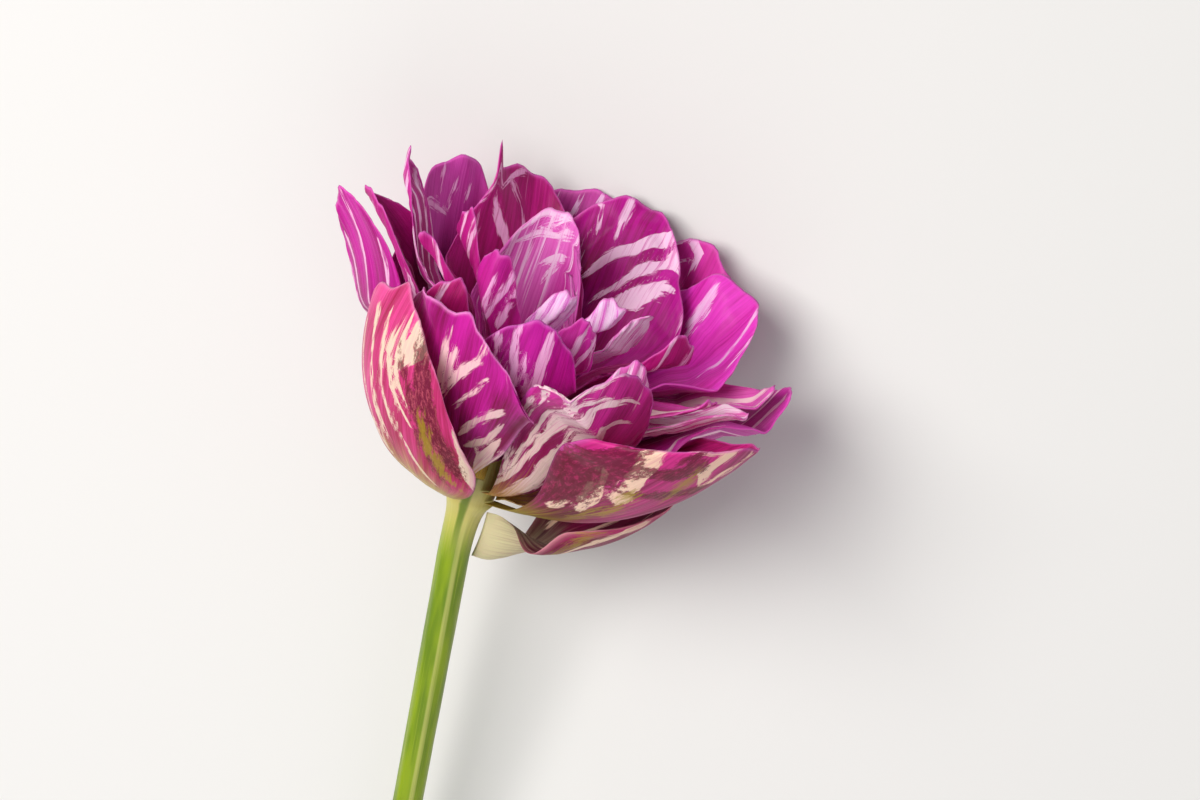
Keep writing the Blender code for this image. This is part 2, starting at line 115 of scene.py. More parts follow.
# How the flower lies
LYING_PITCH = 11.0         # degrees that the bloom's axis rises from the stem

# Where the claws sit on the receptacle: radius and height of each row, lowest first.
ROWS = [(4.8, 0.9), (5.0, 3.2), (4.9, 5.5), (4.6, 7.8), (4.2, 10.1), (3.7, 12.4), (3.1, 14.7)]

LARGE, MEDIUM = (10, 11), (8, 9)                    # cells of a solid across and along it
FINE_CELLS = {LARGE: (66, 84), MEDIUM: (50, 64)}    # and those of the finer petal in its place

SHAPE = dict(row=0.0, az=0.0, reach=35.0, rise=42.0, slope=10.0, half=12.0, cells=MEDIUM,
             ease=0.8, flare=0.0, lean=0.0, cup=0.0, ruffle=1.0, waves=8.0, phase=0.0,
             notch=0.8, point=0.0, spike=0.0, crease=0.5, claw=None, round=0.36, corner=2.2,
             widest=0.66, top=0.92, wrap=14.0, base=None, tilt=0.6, twist=None,
             grow=1.7, gap=PETAL_GAP, shift=0.0, root=0.0, slant=0.0)

# Outermost first. row: seat on the receptacle. az: direction. reach, rise: tip's radius and height.
# slope: angle at the claw. half: half width. claw: half width at the seat. ease: where the midrib
# bends. twist: turn about the midrib in degrees. root: the same at the claw alone. cup: raised
# margins. lean: sideways sweep towards the tip in degrees. slant: one shoulder longer than the
# other. round, widest, top, grow: outline. gap: clearance that the petals inside it keep.
PETALS = {
    "petal_bract": dict(az=2, reach=36.5, rise=16.5, slope=0, half=12, base=(3.9, -7.0), claw=5.5,
                        cells=LARGE, phase=0.9, ease=1.0, wrap=30, cup=5, root=-75, shift=0.4),
    "petal_outer_front_right": dict(row=0, az=328, reach=52, rise=38, slope=12, half=20, claw=1.6,
                                    cells=LARGE, phase=1.3, ruffle=0.5, ease=1.0, grow=2.4, widest=0.95,
                                    round=0.28, cup=10, lean=1, tilt=-2, gap=1.6),
    "petal_outer_front_left": dict(row=0, az=216, reach=28.5, rise=40, slope=4, half=21, claw=1.5,
                                   cells=LARGE, phase=0.3, ruffle=0.4, grow=1.3, cup=2, point=2, gap=1.6),
    "petal_outer_left": dict(row=0, az=172, reach=43, rise=43.8, slope=18, half=11, claw=1.3, cells=LARGE,
                             phase=0.4, ease=0.6, flare=45, cup=1, lean=-4, twist=45),
    "petal_outer_back_left": dict(row=0, az=131, reach=36, rise=46, slope=8, half=16, claw=1.4,
                                  cells=LARGE, phase=4.6, ease=0.7, gap=1.4),
    "petal_outer_back": dict(row=0, az=86, reach=38, rise=51.3, slope=14, half=20, claw=1.4, cells=LARGE,
                             phase=3.1, ease=0.6, gap=2.4),
    "petal_outer_right": dict(row=0, az=8, reach=50, rise=38.5, slope=7, half=16, claw=1.4, cells=LARGE,
                              phase=2.2, ease=0.9, gap=1.4),
    "petal_outer_back_right": dict(row=0, az=50, reach=41.5, rise=51, slope=14, half=20.5, claw=1.2,
                                   cells=LARGE, phase=1.2, ease=0.7, gap=2.1),
    "petal_right_small": dict(row=1.0, az=14, reach=46.5, rise=39.5, slope=10, half=9, claw=1.4,
                              phase=2.7, ease=0.9, cup=2, lean=-10, gap=1.5),
    "petal_front_left": dict(row=1, az=245, reach=26.5, rise=42, slope=40, half=16, claw=1.3, phase=0.9,
                             ruffle=0.9, ease=0.7, grow=1.5, widest=0.9, round=0.2, point=1, lean=2,
                             gap=1.7, slant=0.14),
    "petal_front_right": dict(row=1, az=306, reach=33, rise=43.5, slope=18, half=13, claw=1.3,
                              cells=LARGE, phase=1.9, ruffle=0.6, grow=1.8, widest=0.97, round=0.3,
                              lean=2, gap=1.5),
    "petal_right_low": dict(row=1.5, az=343, reach=42.5, rise=37, slope=8, half=6, phase=5.4, ease=1.5,
                            cup=2, lean=6, twist=-25, gap=1.5),
    "petal_right_front_low": dict(row=2.4, az=338, reach=36.5, rise=38.5, slope=10, half=6.5, phase=4.4,
                                  ease=1.5, cup=2, lean=4, twist=-25, gap=1.2),
    "petal_back_right": dict(row=1.4, az=27, reach=43.2, rise=47, slope=26, half=20, claw=1.3,
                             cells=LARGE, phase=3.7, ease=0.65, lean=3, gap=2.0),
    "petal_back_left_tall": dict(row=1.2, az=138, reach=31, rise=54.5, slope=36, half=15, phase=3.4,
                                 ease=0.6, gap=1.4),
    "petal_left_curled": dict(row=2.2, az=172, reach=36.5, rise=49, slope=38, half=10, claw=1.0,
                              phase=2.4, ease=0.6, lean=4, twist=40),
    "petal_back_fan": dict(row=2.1, az=62, reach=36.5, rise=53, slope=26, half=19, cells=LARGE, phase=4.7,
                           ease=0.6, top=1.0, round=0.3, lean=8, gap=1.4),
    "petal_inner_front_right": dict(row=3.4, az=328, reach=26, rise=42, slope=27, half=7, phase=1.1,
                                    ease=1.2, lean=-5, twist=-35, gap=1.45),
    "petal_front_centre": dict(row=2, az=277, reach=19, rise=44.2, slope=46, half=13, claw=1.0, phase=1.4,
                               ease=1.0, grow=1.7),
    "petal_back_broad": dict(row=2.5, az=106, reach=32, rise=53.5, slope=36, half=17, cells=LARGE,
                             phase=5.7, ease=0.6, spike=7.0, lean=5),
    "petal_left_middle": dict(row=2.4, az=216, reach=19.5, rise=44.2, slope=42, half=7.5, phase=0.7,
                              ease=1.1, lean=6, twist=40, gap=1.5),
    "petal_right_dark": dict(row=4.1, az=2, reach=27.6, rise=43.5, slope=24, half=8, phase=2.9, ease=1.1,
                             twist=-40),
    "petal_left_narrow": dict(row=3.2, az=182, reach=34, rise=56, slope=30, half=6.5, claw=1.0, phase=1.7,
                              ruffle=0.5, ease=0.6, lean=-22, twist=30),
    "petal_inner_front": dict(row=4.5, az=298, reach=15, rise=44.7, slope=50, half=6.5, claw=0.8,
                              phase=2.1, ease=1.1, lean=12, twist=-20, gap=1.3),
    "petal_back_lobed": dict(row=3.4, az=94, reach=15, rise=53, slope=48, half=12, phase=3.9, twist=-16),
    "petal_inner_left": dict(row=4.2, az=206, reach=24.5, rise=47.2, slope=50, half=7.5, phase=5.9,
                             lean=-14, twist=45, gap=1.35),
    "petal_inner_right_pale": dict(row=5.3, az=0, reach=22.5, rise=46, slope=25, half=7, claw=0.7,
                                   phase=1.1, ruffle=0.7, ease=1.2, lean=-14, twist=-40, gap=1.7),
    "petal_inner_back_left": dict(row=4.8, az=165, reach=18, rise=52, slope=54, half=5.5, phase=0.2,
                                  lean=8, twist=38),
    "petal_inner_broad": dict(row=5.4, az=234, reach=11, rise=50, slope=54, half=7.5, claw=0.7, phase=4.9,
                              ease=1.1, lean=-12, twist=30, gap=1.35),
    "petal_heart_pale": dict(row=5.8, az=334, reach=14, rise=48, slope=46, half=7, claw=0.7, phase=3.2,
                             ease=1.2, lean=2, twist=-48, gap=1.5),
    "petal_heart": dict(row=6.0, az=285, reach=8, rise=46.9, slope=70, half=6, claw=1.2, phase=4.2,
                        ease=1.2, wrap=6, lean=20, twist=0, gap=1.25),
}


def smooth(x, low=0.0, high=1.0):
    t = np.clip((x - low) / (high - low), 0.0, 1.0)
    return t * t * (3.0 - 2.0 * t)


def full_shape(given):
    """A petal's values with the defaults that its kind has."""
    p = dict(SHAPE)
    if given.get("twist") is not None:
        p.update(wrap=30.0, cup=2.5, tilt=0.0)
    p.update(given)
    p["twist"] = p["twist"] or 0.0
    if p["claw"] is None:
        p["claw"] = 2.0 if p["row"] < 2 else 1.2
    if p["base"] is None:
        low = min(int(p["row"]), len(ROWS) - 1)
        high = min(low + 1, len(ROWS) - 1)
        f = min(p["row"] - low, 1.0)
        p["base"] = tuple(ROWS[low][k] * (1 - f) + ROWS[high][k] * f for k in (0, 1))
    return p


# One petal
STEPS = np.linspace(0.0, 1.12, 113)
TIP = 100                  # the step that is at the petal's length


def unit_midrib(slope, end, ease, flare):
    angle = np.radians(slope + (end - slope) * STEPS ** ease - flare * smooth(STEPS, 0.62, 1.0))
    mid = (angle[1:] + angle[:-1]) / 2
    step = STEPS[1] - STEPS[0]
    out = np.concatenate([[0.0], np.cumsum(np.cos(mid) * step)])
    up = np.concatenate([[0.0], np.cumsum(np.sin(mid) * step)])
    return angle, out, up


def midrib(p):
    """The midrib's angle, radius and height along it, bent so that it ends at the tip."""
    base, tip = p["base"], (p["reach"], p["rise"])
    want = math.atan2(tip[1] - base[1], tip[0] - base[0])
    low, high = p["slope"] - 60.0, p["slope"] + 230.0
    for _ in range(40):
        end = (low + high) / 2
        angle, out, up = unit_midrib(p["slope"], end, p["ease"], p["flare"])
        if math.atan2(up[TIP], out[TIP]) < want:
            low = end
        else:
            high = end
    length = math.dist(base, tip) / math.hypot(out[TIP], up[TIP])
    return angle, base[0] + out * length, base[1] + up * length, length


def petal_points(p, u, v):
    """Points of the petal's middle surface: u from -1 to 1 across, v from 0 to 1 along it."""
    angle, out, up, length = midrib(p)
    half, seed = p["half"], p["phase"]
    edge = smooth(v, 0.7, 1.0)
    frill = (0.5 * np.sin(9.3 * u + seed) + 0.35 * np.sin(17.1 * u + 2.3 * seed)
             + 0.3 * np.sin(5.1 * u - seed))
    rim = 1.0 - p["round"] * np.abs(u) ** p["corner"] + p["notch"] / length * frill * edge
    rim = rim - p["slant"] * u * edge
    rim = rim + p["point"] / length * np.exp(-(u / 0.09) ** 2) * edge
    rim = rim + p["spike"] / length * np.exp(-((u - 0.4) / 0.05) ** 2) * smooth(v, 0.88, 1.0)
    t = v * rim
    narrow = p["claw"] / half
    open_out = np.sin(np.pi / 2 * np.clip(v / p["widest"], 0, 1)) ** p["grow"]
    close_in = 1 - (1 - p["top"]) * np.clip((v - p["widest"]) / (1 - p["widest"]), 0, 1) ** 2
    w = u * half * (narrow + (1 - narrow) * open_out) * close_in
    r, a, phi = (np.interp(t, STEPS, k) for k in (out, up, angle))

    around = np.arctan2(u * half, (v - 0.22) * length * 0.75)
    near = np.maximum(np.abs(u) ** 2.2 * smooth(v, 0.08, 0.6), v ** 2.2) ** 1.3
    d = p["ruffle"] * near * (np.sin(p["waves"] * around + seed)
                              + 0.45 * np.sin(1.7 * p["waves"] * around + 2.1 * seed + 1.0))
    d = d + p["cup"] * u ** 2 * smooth(v, 0.1, 0.8)
    d = d - p["crease"] * np.exp(-(u / 0.13) ** 2) * smooth(v, 0.12, 0.4) * (1 - smooth(v, 0.7, 1.0))
    d = d + p["tilt"] * u * smooth(v, 0.0, 0.5)
    turn = np.radians(p["twist"] * smooth(v, 0.0, 0.55) + p["root"] * (1 - smooth(v, 0.02, 0.5)))
    w, d = w * np.cos(turn) - d * np.sin(turn), w * np.sin(turn) + d * np.cos(turn)

    bend = np.maximum(r, p["wrap"] * smooth(v, 0.03, 0.35) + 0.01)
    bend = np.where(v <= 0.0, max(p["base"][0], 0.5), bend)
    psi = math.radians(p["az"]) + np.radians(p["lean"]) * t ** 1.5
    side = psi + w / bend
    radius = bend - np.sin(phi) * d
    return np.stack([(r - bend) * np.cos(psi) + radius * np.cos(side) + p["shift"],
                     (r - bend) * np.sin(psi) + radius * np.sin(side),
                     a + np.cos(phi) * d], -1)


# Nesting: how far out a petal may lie in each direction, seen from just under the bloom
TURNS, SHELLS, FAR = 180, 80, 9.0
EYE = np.array([0.0, 0.0, -1.0])
SHELL = np.arange(SHELLS) + 0.5


def to_polar(points):
    q = points - EYE
    flat = np.hypot(q[..., 0], q[..., 1])
    return np.arctan2(q[..., 1], q[..., 0]), np.hypot(flat, q[..., 2]), np.arctan2(flat, q[..., 2])


def from_polar(az, rho, lean):
    return EYE + np.stack([rho * np.sin(lean) * np.cos(az), rho * np.sin(lean) * np.sin(az),
                           rho * np.cos(lean)], -1)


def moved(limit, s):
    """The limit map shifted s shells up or down, with nothing coming in."""
    out = np.full_like(limit, FAR)
    if s > 0:
        out[:, s:] = limit[:, :-s]
    else:
        out[:, :s] = limit[:, -s:]
    return out


def spread(limit, leaning):
    """Widen a petal's limit by its neighbourhood, then let it fade out in a slope."""
    cell = 2 * math.pi / TURNS
    out = limit.copy()
    for s in range(1, 60):
        near = s * cell * SHELL * leaning <= 3.0 * (0.2 + 0.8 * smooth(SHELL, 10.0, 24.0))
        if not near.any():
            break
        both = np.minimum(np.roll(limit, s, 0), np.roll(limit, -s, 0))
        out = np.where(near[None, :], np.minimum(out, both), out)
    limit = out.copy()
    for s in (1, 2, 3):
        both = np.minimum(moved(limit, s), moved(limit, -s))
        out = np.where((SHELL > 10.0 * s)[None, :], np.minimum(out, both), out)
    for _ in range(40):
        out = np.minimum(out, np.minimum(np.roll(out, 1, 0), np.roll(out, -1, 0)) + 0.7 * leaning * cell)
        out = np.minimum(out, np.minimum(moved(out, 1), moved(out, -1)) + 0.6 / SHELL)
    return out


def read_limit(limit, az, rho):
    x = (az / (2 * math.pi) * TURNS) % TURNS
    y = np.clip(rho - 0.5, 0, SHELLS - 1.001)
    i, j = np.floor(x).astype(int) % TURNS, np.floor(y).astype(int)
    f, g = x - np.floor(x), y - j
    k = (i + 1) % TURNS
    return ((limit[i, j] * (1 - f) + limit[k, j] * f) * (1 - g)
            + (limit[i, j + 1] * (1 - f) + limit[k, j + 1] * f) * g)


def bent_clear(points, limit, p):
    """Bend points inwards, smoothly, to where the limit lets them be."""
    az, rho, lean = to_polar(points)
    allowed = read_limit(limit, az, rho)
    soft = 0.25 / np.maximum(rho, 3.0)
    inside = allowed - soft * np.log1p(np.exp(np.clip((allowed - lean) / soft, -40, 40)))
    seat = math.hypot(p["base"][0], p["base"][1] - EYE[2])
    free = smooth(rho, seat + 0.2, seat + 2.0)
    bent = lean + (np.minimum(inside, lean) - lean) * free
    return from_polar(az, rho, np.where(allowed > FAR - 3, lean, bent))


def nest(shapes):
    """The limit that each petal has to keep to, by name."""
    limit = np.full((TURNS, SHELLS), FAR)
    v, u = np.meshgrid(np.linspace(0, 1, 65), np.linspace(-1, 1, 65), indexing="ij")
    limits = {}
    for name, p in shapes.items():
        limits[name] = limit.copy()
        az, rho, lean = to_polar(bent_clear(petal_points(p, u, v), limit, p))
        i = np.floor((az / (2 * math.pi) * TURNS) % TURNS).astype(int) % TURNS
        j = np.clip(np.floor(rho).astype(int), 0, SHELLS - 1)
        gap = p["gap"] * (0.6 + 0.4 * smooth(rho, 10.0, 24.0))
        own = np.full_like(limit, FAR)
        np.minimum.at(own, (i, j), lean - gap / np.maximum(rho, 2.0))
        limit = np.minimum(limit, spread(own, max(float(np.sin(lean).mean()), 0.15)))
    return limits


def all_petal_points(shapes, limits, count=25):
    v, u = np.meshgrid(np.linspace(0, 1, count), np.linspace(-1, 1, count), indexing="ij")
    return {name: bent_clear(petal_points(p, u, v), limits[name], p).reshape(-1, 3)
            for name, p in shapes.items()}


def lying_frame(cloud):
    """Turn of the flower about its own axis at which the bloom rests on two petals."""
    pitch = math.radians(LYING_PITCH)
    points = np.concatenate(list(cloud.values()))
    middle = points.mean(0)

    def axes(roll):
        side, back = np.array([0.0, -1.0, 0.0]), np.array([math.sin(pitch), 0.0, -math.cos(pitch)])
        c, s = math.cos(roll), math.sin(roll)
        return np.stack([c * side + s * back, c * back - s * side,
                         np.array([math.cos(pitch), 0.0, math.sin(pitch)])])

    def height(roll):
        frame = axes(roll)
        return (middle @ frame)[2] - (points @ frame)[:, 2].min()

    rolls = np.radians(np.arange(-30.0, 30.01, 0.1))
    return axes(rolls[int(np.argmin([height(r) for r in rolls]))])


# The stem's line, and where the flower lies
def stem_centre(s, fall=0.0):
    """Centre line of the stem at s mm below the bloom, in the bloom's frame.

    fall is how far the cut end sinks sideways, towards the bloom's back.
    """
    turn = math.radians(STEM_TURN)
    bend = min(s, STEM_BEND)
    rest = max(s - STEM_BEND, 0.0)
    angle = turn * bend / STEM_BEND
    x = STEM_BEND / turn * (1 - math.cos(angle)) + rest * math.sin(turn)
    z = -STEM_BEND / turn * math.sin(angle) - rest * math.cos(turn)
    return x, float(fall * smooth(np.array(s / STEM_LENGTH), 0.1, 1.0)), z


def stem_radius(s):
    taper = STEM_TOP_RADIUS + (STEM_END_RADIUS - STEM_TOP_RADIUS) * s / STEM_LENGTH
    return taper + 0.75 * math.exp(-s / 4.0)


SHAPES = {name: full_shape(given) for name, given in PETALS.items()}
LIMITS = nest(SHAPES)
CLOUD = all_petal_points(SHAPES, LIMITS)
AXES = lying_frame(CLOUD)
FLOOR = min((points @ AXES)[:, 2].min() for points in CLOUD.values()) - SOLID_THICKNESS / 2
END = np.array(stem_centre(STEM_LENGTH))
FALL = ((END @ AXES)[2] - STEM_END_RADIUS - FLOOR) / -AXES[1][2]
ENDS = np.concatenate([*CLOUD.values(), [END]]) @ AXES
CENTRE = (ENDS.min(0) + ENDS.max(0)) / 2
CENTRE[2] = FLOOR


def place(points):
    """Points of the bloom's frame, in millimetres, laid down in metres."""
    return (np.asarray(points, float) @ AXES - CENTRE) * MM


def lying(direction):
    """A direction of the bloom's frame in the lying flower."""
    return Vector(np.asarray(direction, float) @ AXES)


# Short ways to build node trees
GEOMETRY, MATERIAL, NUMBER, COLOUR = (
    "NodeSocketGeometry", "NodeSocketMaterial", "NodeSocketFloat", "NodeSocketColor")


def new_group(name, kind, inputs, output, output_type):
    """The tree and the inputs of a new node group, which has one output.

    An input is given by its default, a number or a colour, or by its socket type where it has none.
    """
    group = bpy.data.node_groups.new(name, kind)
    for label, given in inputs.items():
        if isinstance(given, str):
            group.interface.new_socket(name=label, in_out="INPUT", socket_type=given)
            continue
        socket_type = NUMBER if isinstance(given, float) else COLOUR
        socket = group.interface.new_socket(name=label, in_out="INPUT", socket_type=socket_type)
        socket.default_value = given
    group.interface.new_socket(name=output, in_out="OUTPUT", socket_type=output_type)
    t = Tree(group)
    return t, t.add("NodeGroupInput").outputs


class Tree:
    """Short ways to add nodes to a tree and link them."""

    def __init__(self, tree):
        self.tree = tree

    def add(self, kind, **settings):
        node = self.tree.nodes.new(kind)
        for key, value in settings.items():
            setattr(node, key, value)
        return node

    def link(self, source, target):
        if isinstance(source, bpy.types.NodeSocket):
            self.tree.links.new(source, target)
        else:
            target.default_value = source

    def put_out(self, source):
        """Link a socket to the group's output, and return the finished group."""
        self.link(source, self.add("NodeGroupOutput").inputs[0])
        return self.tree

    def math(self, operation, a, b=0.0, c=None):
        node = self.add("ShaderNodeMath", operation=operation)
        for socket, value in zip(node.inputs, (a, b, c)):
            if value is not None:
                self.link(value, socket)
        return node.outputs[0]

    def ramp(self, value, low, high, to_low=0.0, to_high=1.0):
        node = self.add("ShaderNodeMapRange", interpolation_type="SMOOTHSTEP")
        for label, given in (("Value", value), ("From Min", low), ("From Max", high),
                             ("To Min", to_low), ("To Max", to_high)):
            self.link(given, node.inputs[label])
        return node.outputs["Result"]

    def mix(self, share, a, b):
        """Colour a where share is 0, colour b where it is 1."""
        node = self.add("ShaderNodeMix", data_type="RGBA")
        inputs = {socket.identifier: socket for socket in node.inputs}
        self.link(share, inputs["Factor_Float"])
        self.link(a, inputs["A_Color"])
        self.link(b, inputs["B_Color"])
        return {socket.identifier: socket for socket in node.outputs}["Result_Color"]

    def vector(self, x, y, z):
        node = self.add("ShaderNodeCombineXYZ")
        for socket, value in zip(node.inputs, (x, y, z)):
            self.link(value, socket)
        return node.outputs[0]

    def placed(self, group, values):
        """The output of a shader group that is placed in this tree with its own values."""
        node = self.add("ShaderNodeGroup", node_tree=group)
        for label, value in values.items():
            self.link(value, node.inputs[label])
        return node.outputs[0]

    def noise(self, x, y, z, detail=2.0, roughness=0.5):
        """Noise that swings about 0, mostly between -1 and 1."""
        node = self.add("ShaderNodeTexNoise")
        self.link(self.vector(x, y, z), node.inputs["Vector"])
        for label, value in (("Scale", 1.0), ("Detail", detail), ("Roughness", roughness)):
            self.link(value, node.inputs[label])
        return self.math("MULTIPLY", self.math("SUBTRACT", node.outputs[0], 0.5), 4.0)

    def drawn_noise(self, across, along, seed, fine_across, fine_along, detail=2.0, roughness=0.5):
        """Noise with its own fineness across a petal and along it."""
        return self.noise(self.math("MULTIPLY", across, fine_across),
                          self.math("MULTIPLY", along, fine_along), seed, detail, roughness)


def geometry_attribute(t, name):
    node = t.add("GeometryNodeInputNamedAttribute", data_type="FLOAT")
    node.inputs["Name"].default_value = name
    return node.outputs[0]


def moved_along_normal(t, geometry, distance):
    scaled = t.add("ShaderNodeVectorMath", operation="SCALE")
    t.link(t.add("GeometryNodeInputNormal").outputs[0], scaled.inputs[0])
    t.link(distance, scaled.inputs["Scale"])
    move = t.add("GeometryNodeSetPosition")
    t.link(geometry, move.inputs["Geometry"])
    t.link(scaled.outputs[0], move.inputs["Offset"])
    return move.outputs[0]


def finish_tree(t, geometry, skin):
    """The finished tree, which ends in smooth shading, real geometry and a material."""
    shade = t.add("GeometryNodeSetShadeSmooth")
    t.link(geometry, shade.inputs["Geometry"])
    real = t.add("GeometryNodeRealizeInstances")
    t.link(shade.outputs[0], real.inputs["Geometry"])
    cover = t.add("GeometryNodeSetMaterial")
    t.link(real.outputs[0], cover.inputs["Geometry"])
    t.link(skin, cover.inputs["Material"])
    return t.put_out(cover.outputs[0])


# Petals: a bent sheet that a node tree turns into flesh
PETAL_SIZES = {"Thickness": FLESH * MM, "Rib Height": RIB_HEIGHT * MM, "Ribs Across": RIBS_ACROSS,
               "Frill Height": FRILL_HEIGHT * MM}


def flesh_tree():
    """Gives a sheet two faces that meet at its margin, with fine ribs along it and a frilled rim."""
    inputs = {"Sheet": GEOMETRY, **PETAL_SIZES, "Seed": 0.0, "Skin": MATERIAL}
    t, given = new_group("petal_flesh", "GeometryNodeTree", inputs, "Petal", GEOMETRY)
    across, along, edge, rim = (geometry_attribute(t, k) for k in ("across", "along", "edge", "rim"))
    rib = t.drawn_noise(across, along, given["Seed"], given["Ribs Across"], 1.6, 3.0)
    rib = t.math("MULTIPLY", t.math("MULTIPLY", rib, 0.25), given["Rib Height"])
    frill = t.drawn_noise(across, along, given["Seed"], 5.0, 6.0)
    frill = t.math("MULTIPLY", t.math("MULTIPLY", frill, rim), given["Frill Height"])
    middle = t.math("MULTIPLY_ADD", rib, edge, frill)
    half = t.math("MULTIPLY", t.math("MULTIPLY", given["Thickness"], 0.5), edge)
    join = t.add("GeometryNodeJoinGeometry")
    for outer, offset in ((1.0, t.math("ADD", middle, half)), (0.0, t.math("SUBTRACT", middle, half))):
        store = t.add("GeometryNodeStoreNamedAttribute", data_type="FLOAT", domain="POINT")
        t.link(given["Sheet"], store.inputs["Geometry"])
        store.inputs["Name"].default_value = "outer"
        store.inputs["Value"].default_value = outer
        face = moved_along_normal(t, store.outputs[0], offset)
        if not outer:
            flip = t.add("GeometryNodeFlipFaces")
            t.link(face, flip.inputs[0])
            face = flip.outputs[0]
        t.link(face, join.inputs[0])
    weld = t.add("GeometryNodeMergeByDistance")
    t.link(join.outputs[0], weld.inputs["Geometry"])
    weld.inputs["Distance"].default_value = 0.001 * MM
    return finish_tree(t, weld.outputs[0], given["Skin"])


def run_tree(name, mesh, group, values):
    """The plain object that a node tree makes of a mesh, kept inside the solids' box."""
    carrier = bpy.data.objects.new(name + "_sheet", mesh)
    bpy.context.scene.collection.objects.link(carrier)
    mesh.materials.append(values["Skin"])
    modifier = carrier.modifiers.new("tree", "NODES")
    modifier.node_group = group
    sockets = {item.name: item.identifier for item in group.interface.items_tree
               if item.item_type == "SOCKET" and item.in_out == "INPUT"}
    for label, value in values.items():
        modifier[sockets[label]] = value
    evaluated = carrier.evaluated_get(bpy.context.evaluated_depsgraph_get())
    made = bpy.data.objects.new(name, bpy.data.meshes.new_from_object(evaluated))
    for vert in made.data.vertices:
        vert.co = [min(max(c, low), high) for c, low, high in zip(vert.co, *cad_box)]
    bpy.context.scene.collection.objects.link(made)
    bpy.data.objects.remove(carrier)
    return made


def width_at(p, v):
    """Half width of a petal in millimetres, v along it."""
    narrow = p["claw"] / p["half"]
    open_out = np.sin(np.pi / 2 * np.clip(v / p["widest"], 0, 1)) ** p["grow"]
    return p["half"] * (narrow + (1 - narrow) * open_out)


def beyond(before, end):
    """A point of no width past the end of a streak, so that the streak runs out to nothing."""
    x, y, w = end
    reach = max(math.dist(before[:2], end[:2]), 0.01)
    step = TAPER * w / reach
    return x + (x - before[0]) * step, y + (y - before[1]) * step, 0.0


def streak_fields(streaks, p, u, v):
    """How far inside the nearest streak each point lies, how far to its side and how far along it.

    All three are in millimetres, and the first is below 0 outside all the streaks. A streak is a line
    of (u, v, half width in millimetres), with u from -1 to 1 across the petal.
    """
    length = midrib(p)[3]
    x, y = u * width_at(p, v), v * length
    inside = np.full(x.shape, -FAR_OUT)
    beside, passed = x.copy(), y.copy()
    for number, streak in enumerate(streaks):
        line = [(a * float(width_at(p, b)), b * length, max(w, FINEST_STREAK)) for a, b, w in streak]
        line = [beyond(line[1], line[0]), *line, beyond(line[-2], line[-1])]
        start = 0.0
        for (x0, y0, w0), (x1, y1, w1) in zip(line[:-1], line[1:]):
            reach = max(math.hypot(x1 - x0, y1 - y0), 0.01)
            ahead, aside = (x1 - x0) / reach, (y1 - y0) / reach
            along = (x - x0) * ahead + (y - y0) * aside
            share = np.clip(along / reach, 0, 1)
            away = np.hypot(x - x0 - share * (x1 - x0), y - y0 - share * (y1 - y0))
            depth = w0 + (w1 - w0) * share - away
            nearer = depth > inside
            inside = np.where(nearer, depth, inside)
            beside = np.where(nearer, (y - y0) * ahead - (x - x0) * aside + 9.0 * number, beside)
            passed = np.where(nearer, start + along, passed)
            start += reach
    return inside, beside, passed


def petal_sheet(name, p, look):
    """The petal's middle surface on a fine grid, with the values that its skin reads."""
    mesh = bpy.data.meshes.new(name + "_sheet")
    across, along = FINE_CELLS[p["cells"]]
    bm = bmesh.new()
    bmesh.ops.create_grid(bm, x_segments=across, y_segments=along, size=1.0)
    flat = np.array([vert.co[:] for vert in bm.verts])
    # the grid is a little finer towards the sides and the tip
    u = flat[:, 0] * (1.3 - 0.3 * flat[:, 0] ** 2)
    v = (flat[:, 1] + 1) / 2
    v = v * (1.25 - 0.25 * v)
    length = midrib(p)[3]
    nicks = np.sin(31 * u + p["phase"]) + np.sin(47 * u + 2 * p["phase"]) + np.sin(19 * u - p["phase"])
    v_cut = v * (1 - smooth(v, 0.75, 1.0) * NICK * np.abs(nicks) / length)
    gaps = (1 - np.abs(np.sin(math.pi * LOBES * (v + 0.12 * u)))) ** 1.6 * smooth(v, 0.45, 0.6)
    u_cut = u * (1 - look["lobes"] * gaps * smooth(-u, 0.1, 0.9))
    points = bent_clear(petal_points(p, u_cut, v_cut), LIMITS[name], p)
    for vert, co in zip(bm.verts, place(points)):
        vert.co = co
    bm.to_mesh(mesh)
    bm.free()
    to_side, to_tip = (1 - np.abs(u)) * width_at(p, v), (1 - v) * length
    inside = np.minimum(np.minimum(to_side, to_tip), v * length * 2)
    fields = {"across": u, "along": v, "edge": np.sqrt(np.clip(inside / MARGIN, 0, 1)),
              "rim": (1 - smooth(np.minimum(to_side, to_tip), 0, FRILL_WIDTH)) * smooth(v, 0.35, 0.8),
              "mottle": streak_fields(look["mottle"], p, u, v)[0],
              "olive": streak_fields(look["olive"], p, u, v)[0]}
    fields.update(zip(("streak", "beside", "passed"), streak_fields(look["flames"], p, u, v)))
    for label, values in fields.items():
        store = mesh.attributes.new(label, "FLOAT", "POINT")
        store.data.foreach_set("value", values.astype(np.float32))
    return mesh


def rgb(r, g, b):
    """A colour given in display values, 0 to 255."""
    shares = [k / 255 for k in (r, g, b)]
    return tuple(k / 12.92 if k <= 0.04 else ((k + 0.055) / 1.055) ** 2.4 for k in shares) + (1.0,)


DEEP, BRIGHT, WINE = rgb(150, 3, 92), rgb(216, 22, 178), rgb(92, 1, 28)
# PINK is also the default colour of the painted highlight along a petal's margin.
PALE, CREAM, PINK = rgb(248, 190, 226), rgb(236, 208, 186), rgb(240, 104, 200)
OLIVE, YELLOW = rgb(166, 140, 20), rgb(216, 176, 66)
PALE_LINE, WEDGE = 0.7, 0.76            # turns round the stem, 0.75 being its front in the picture


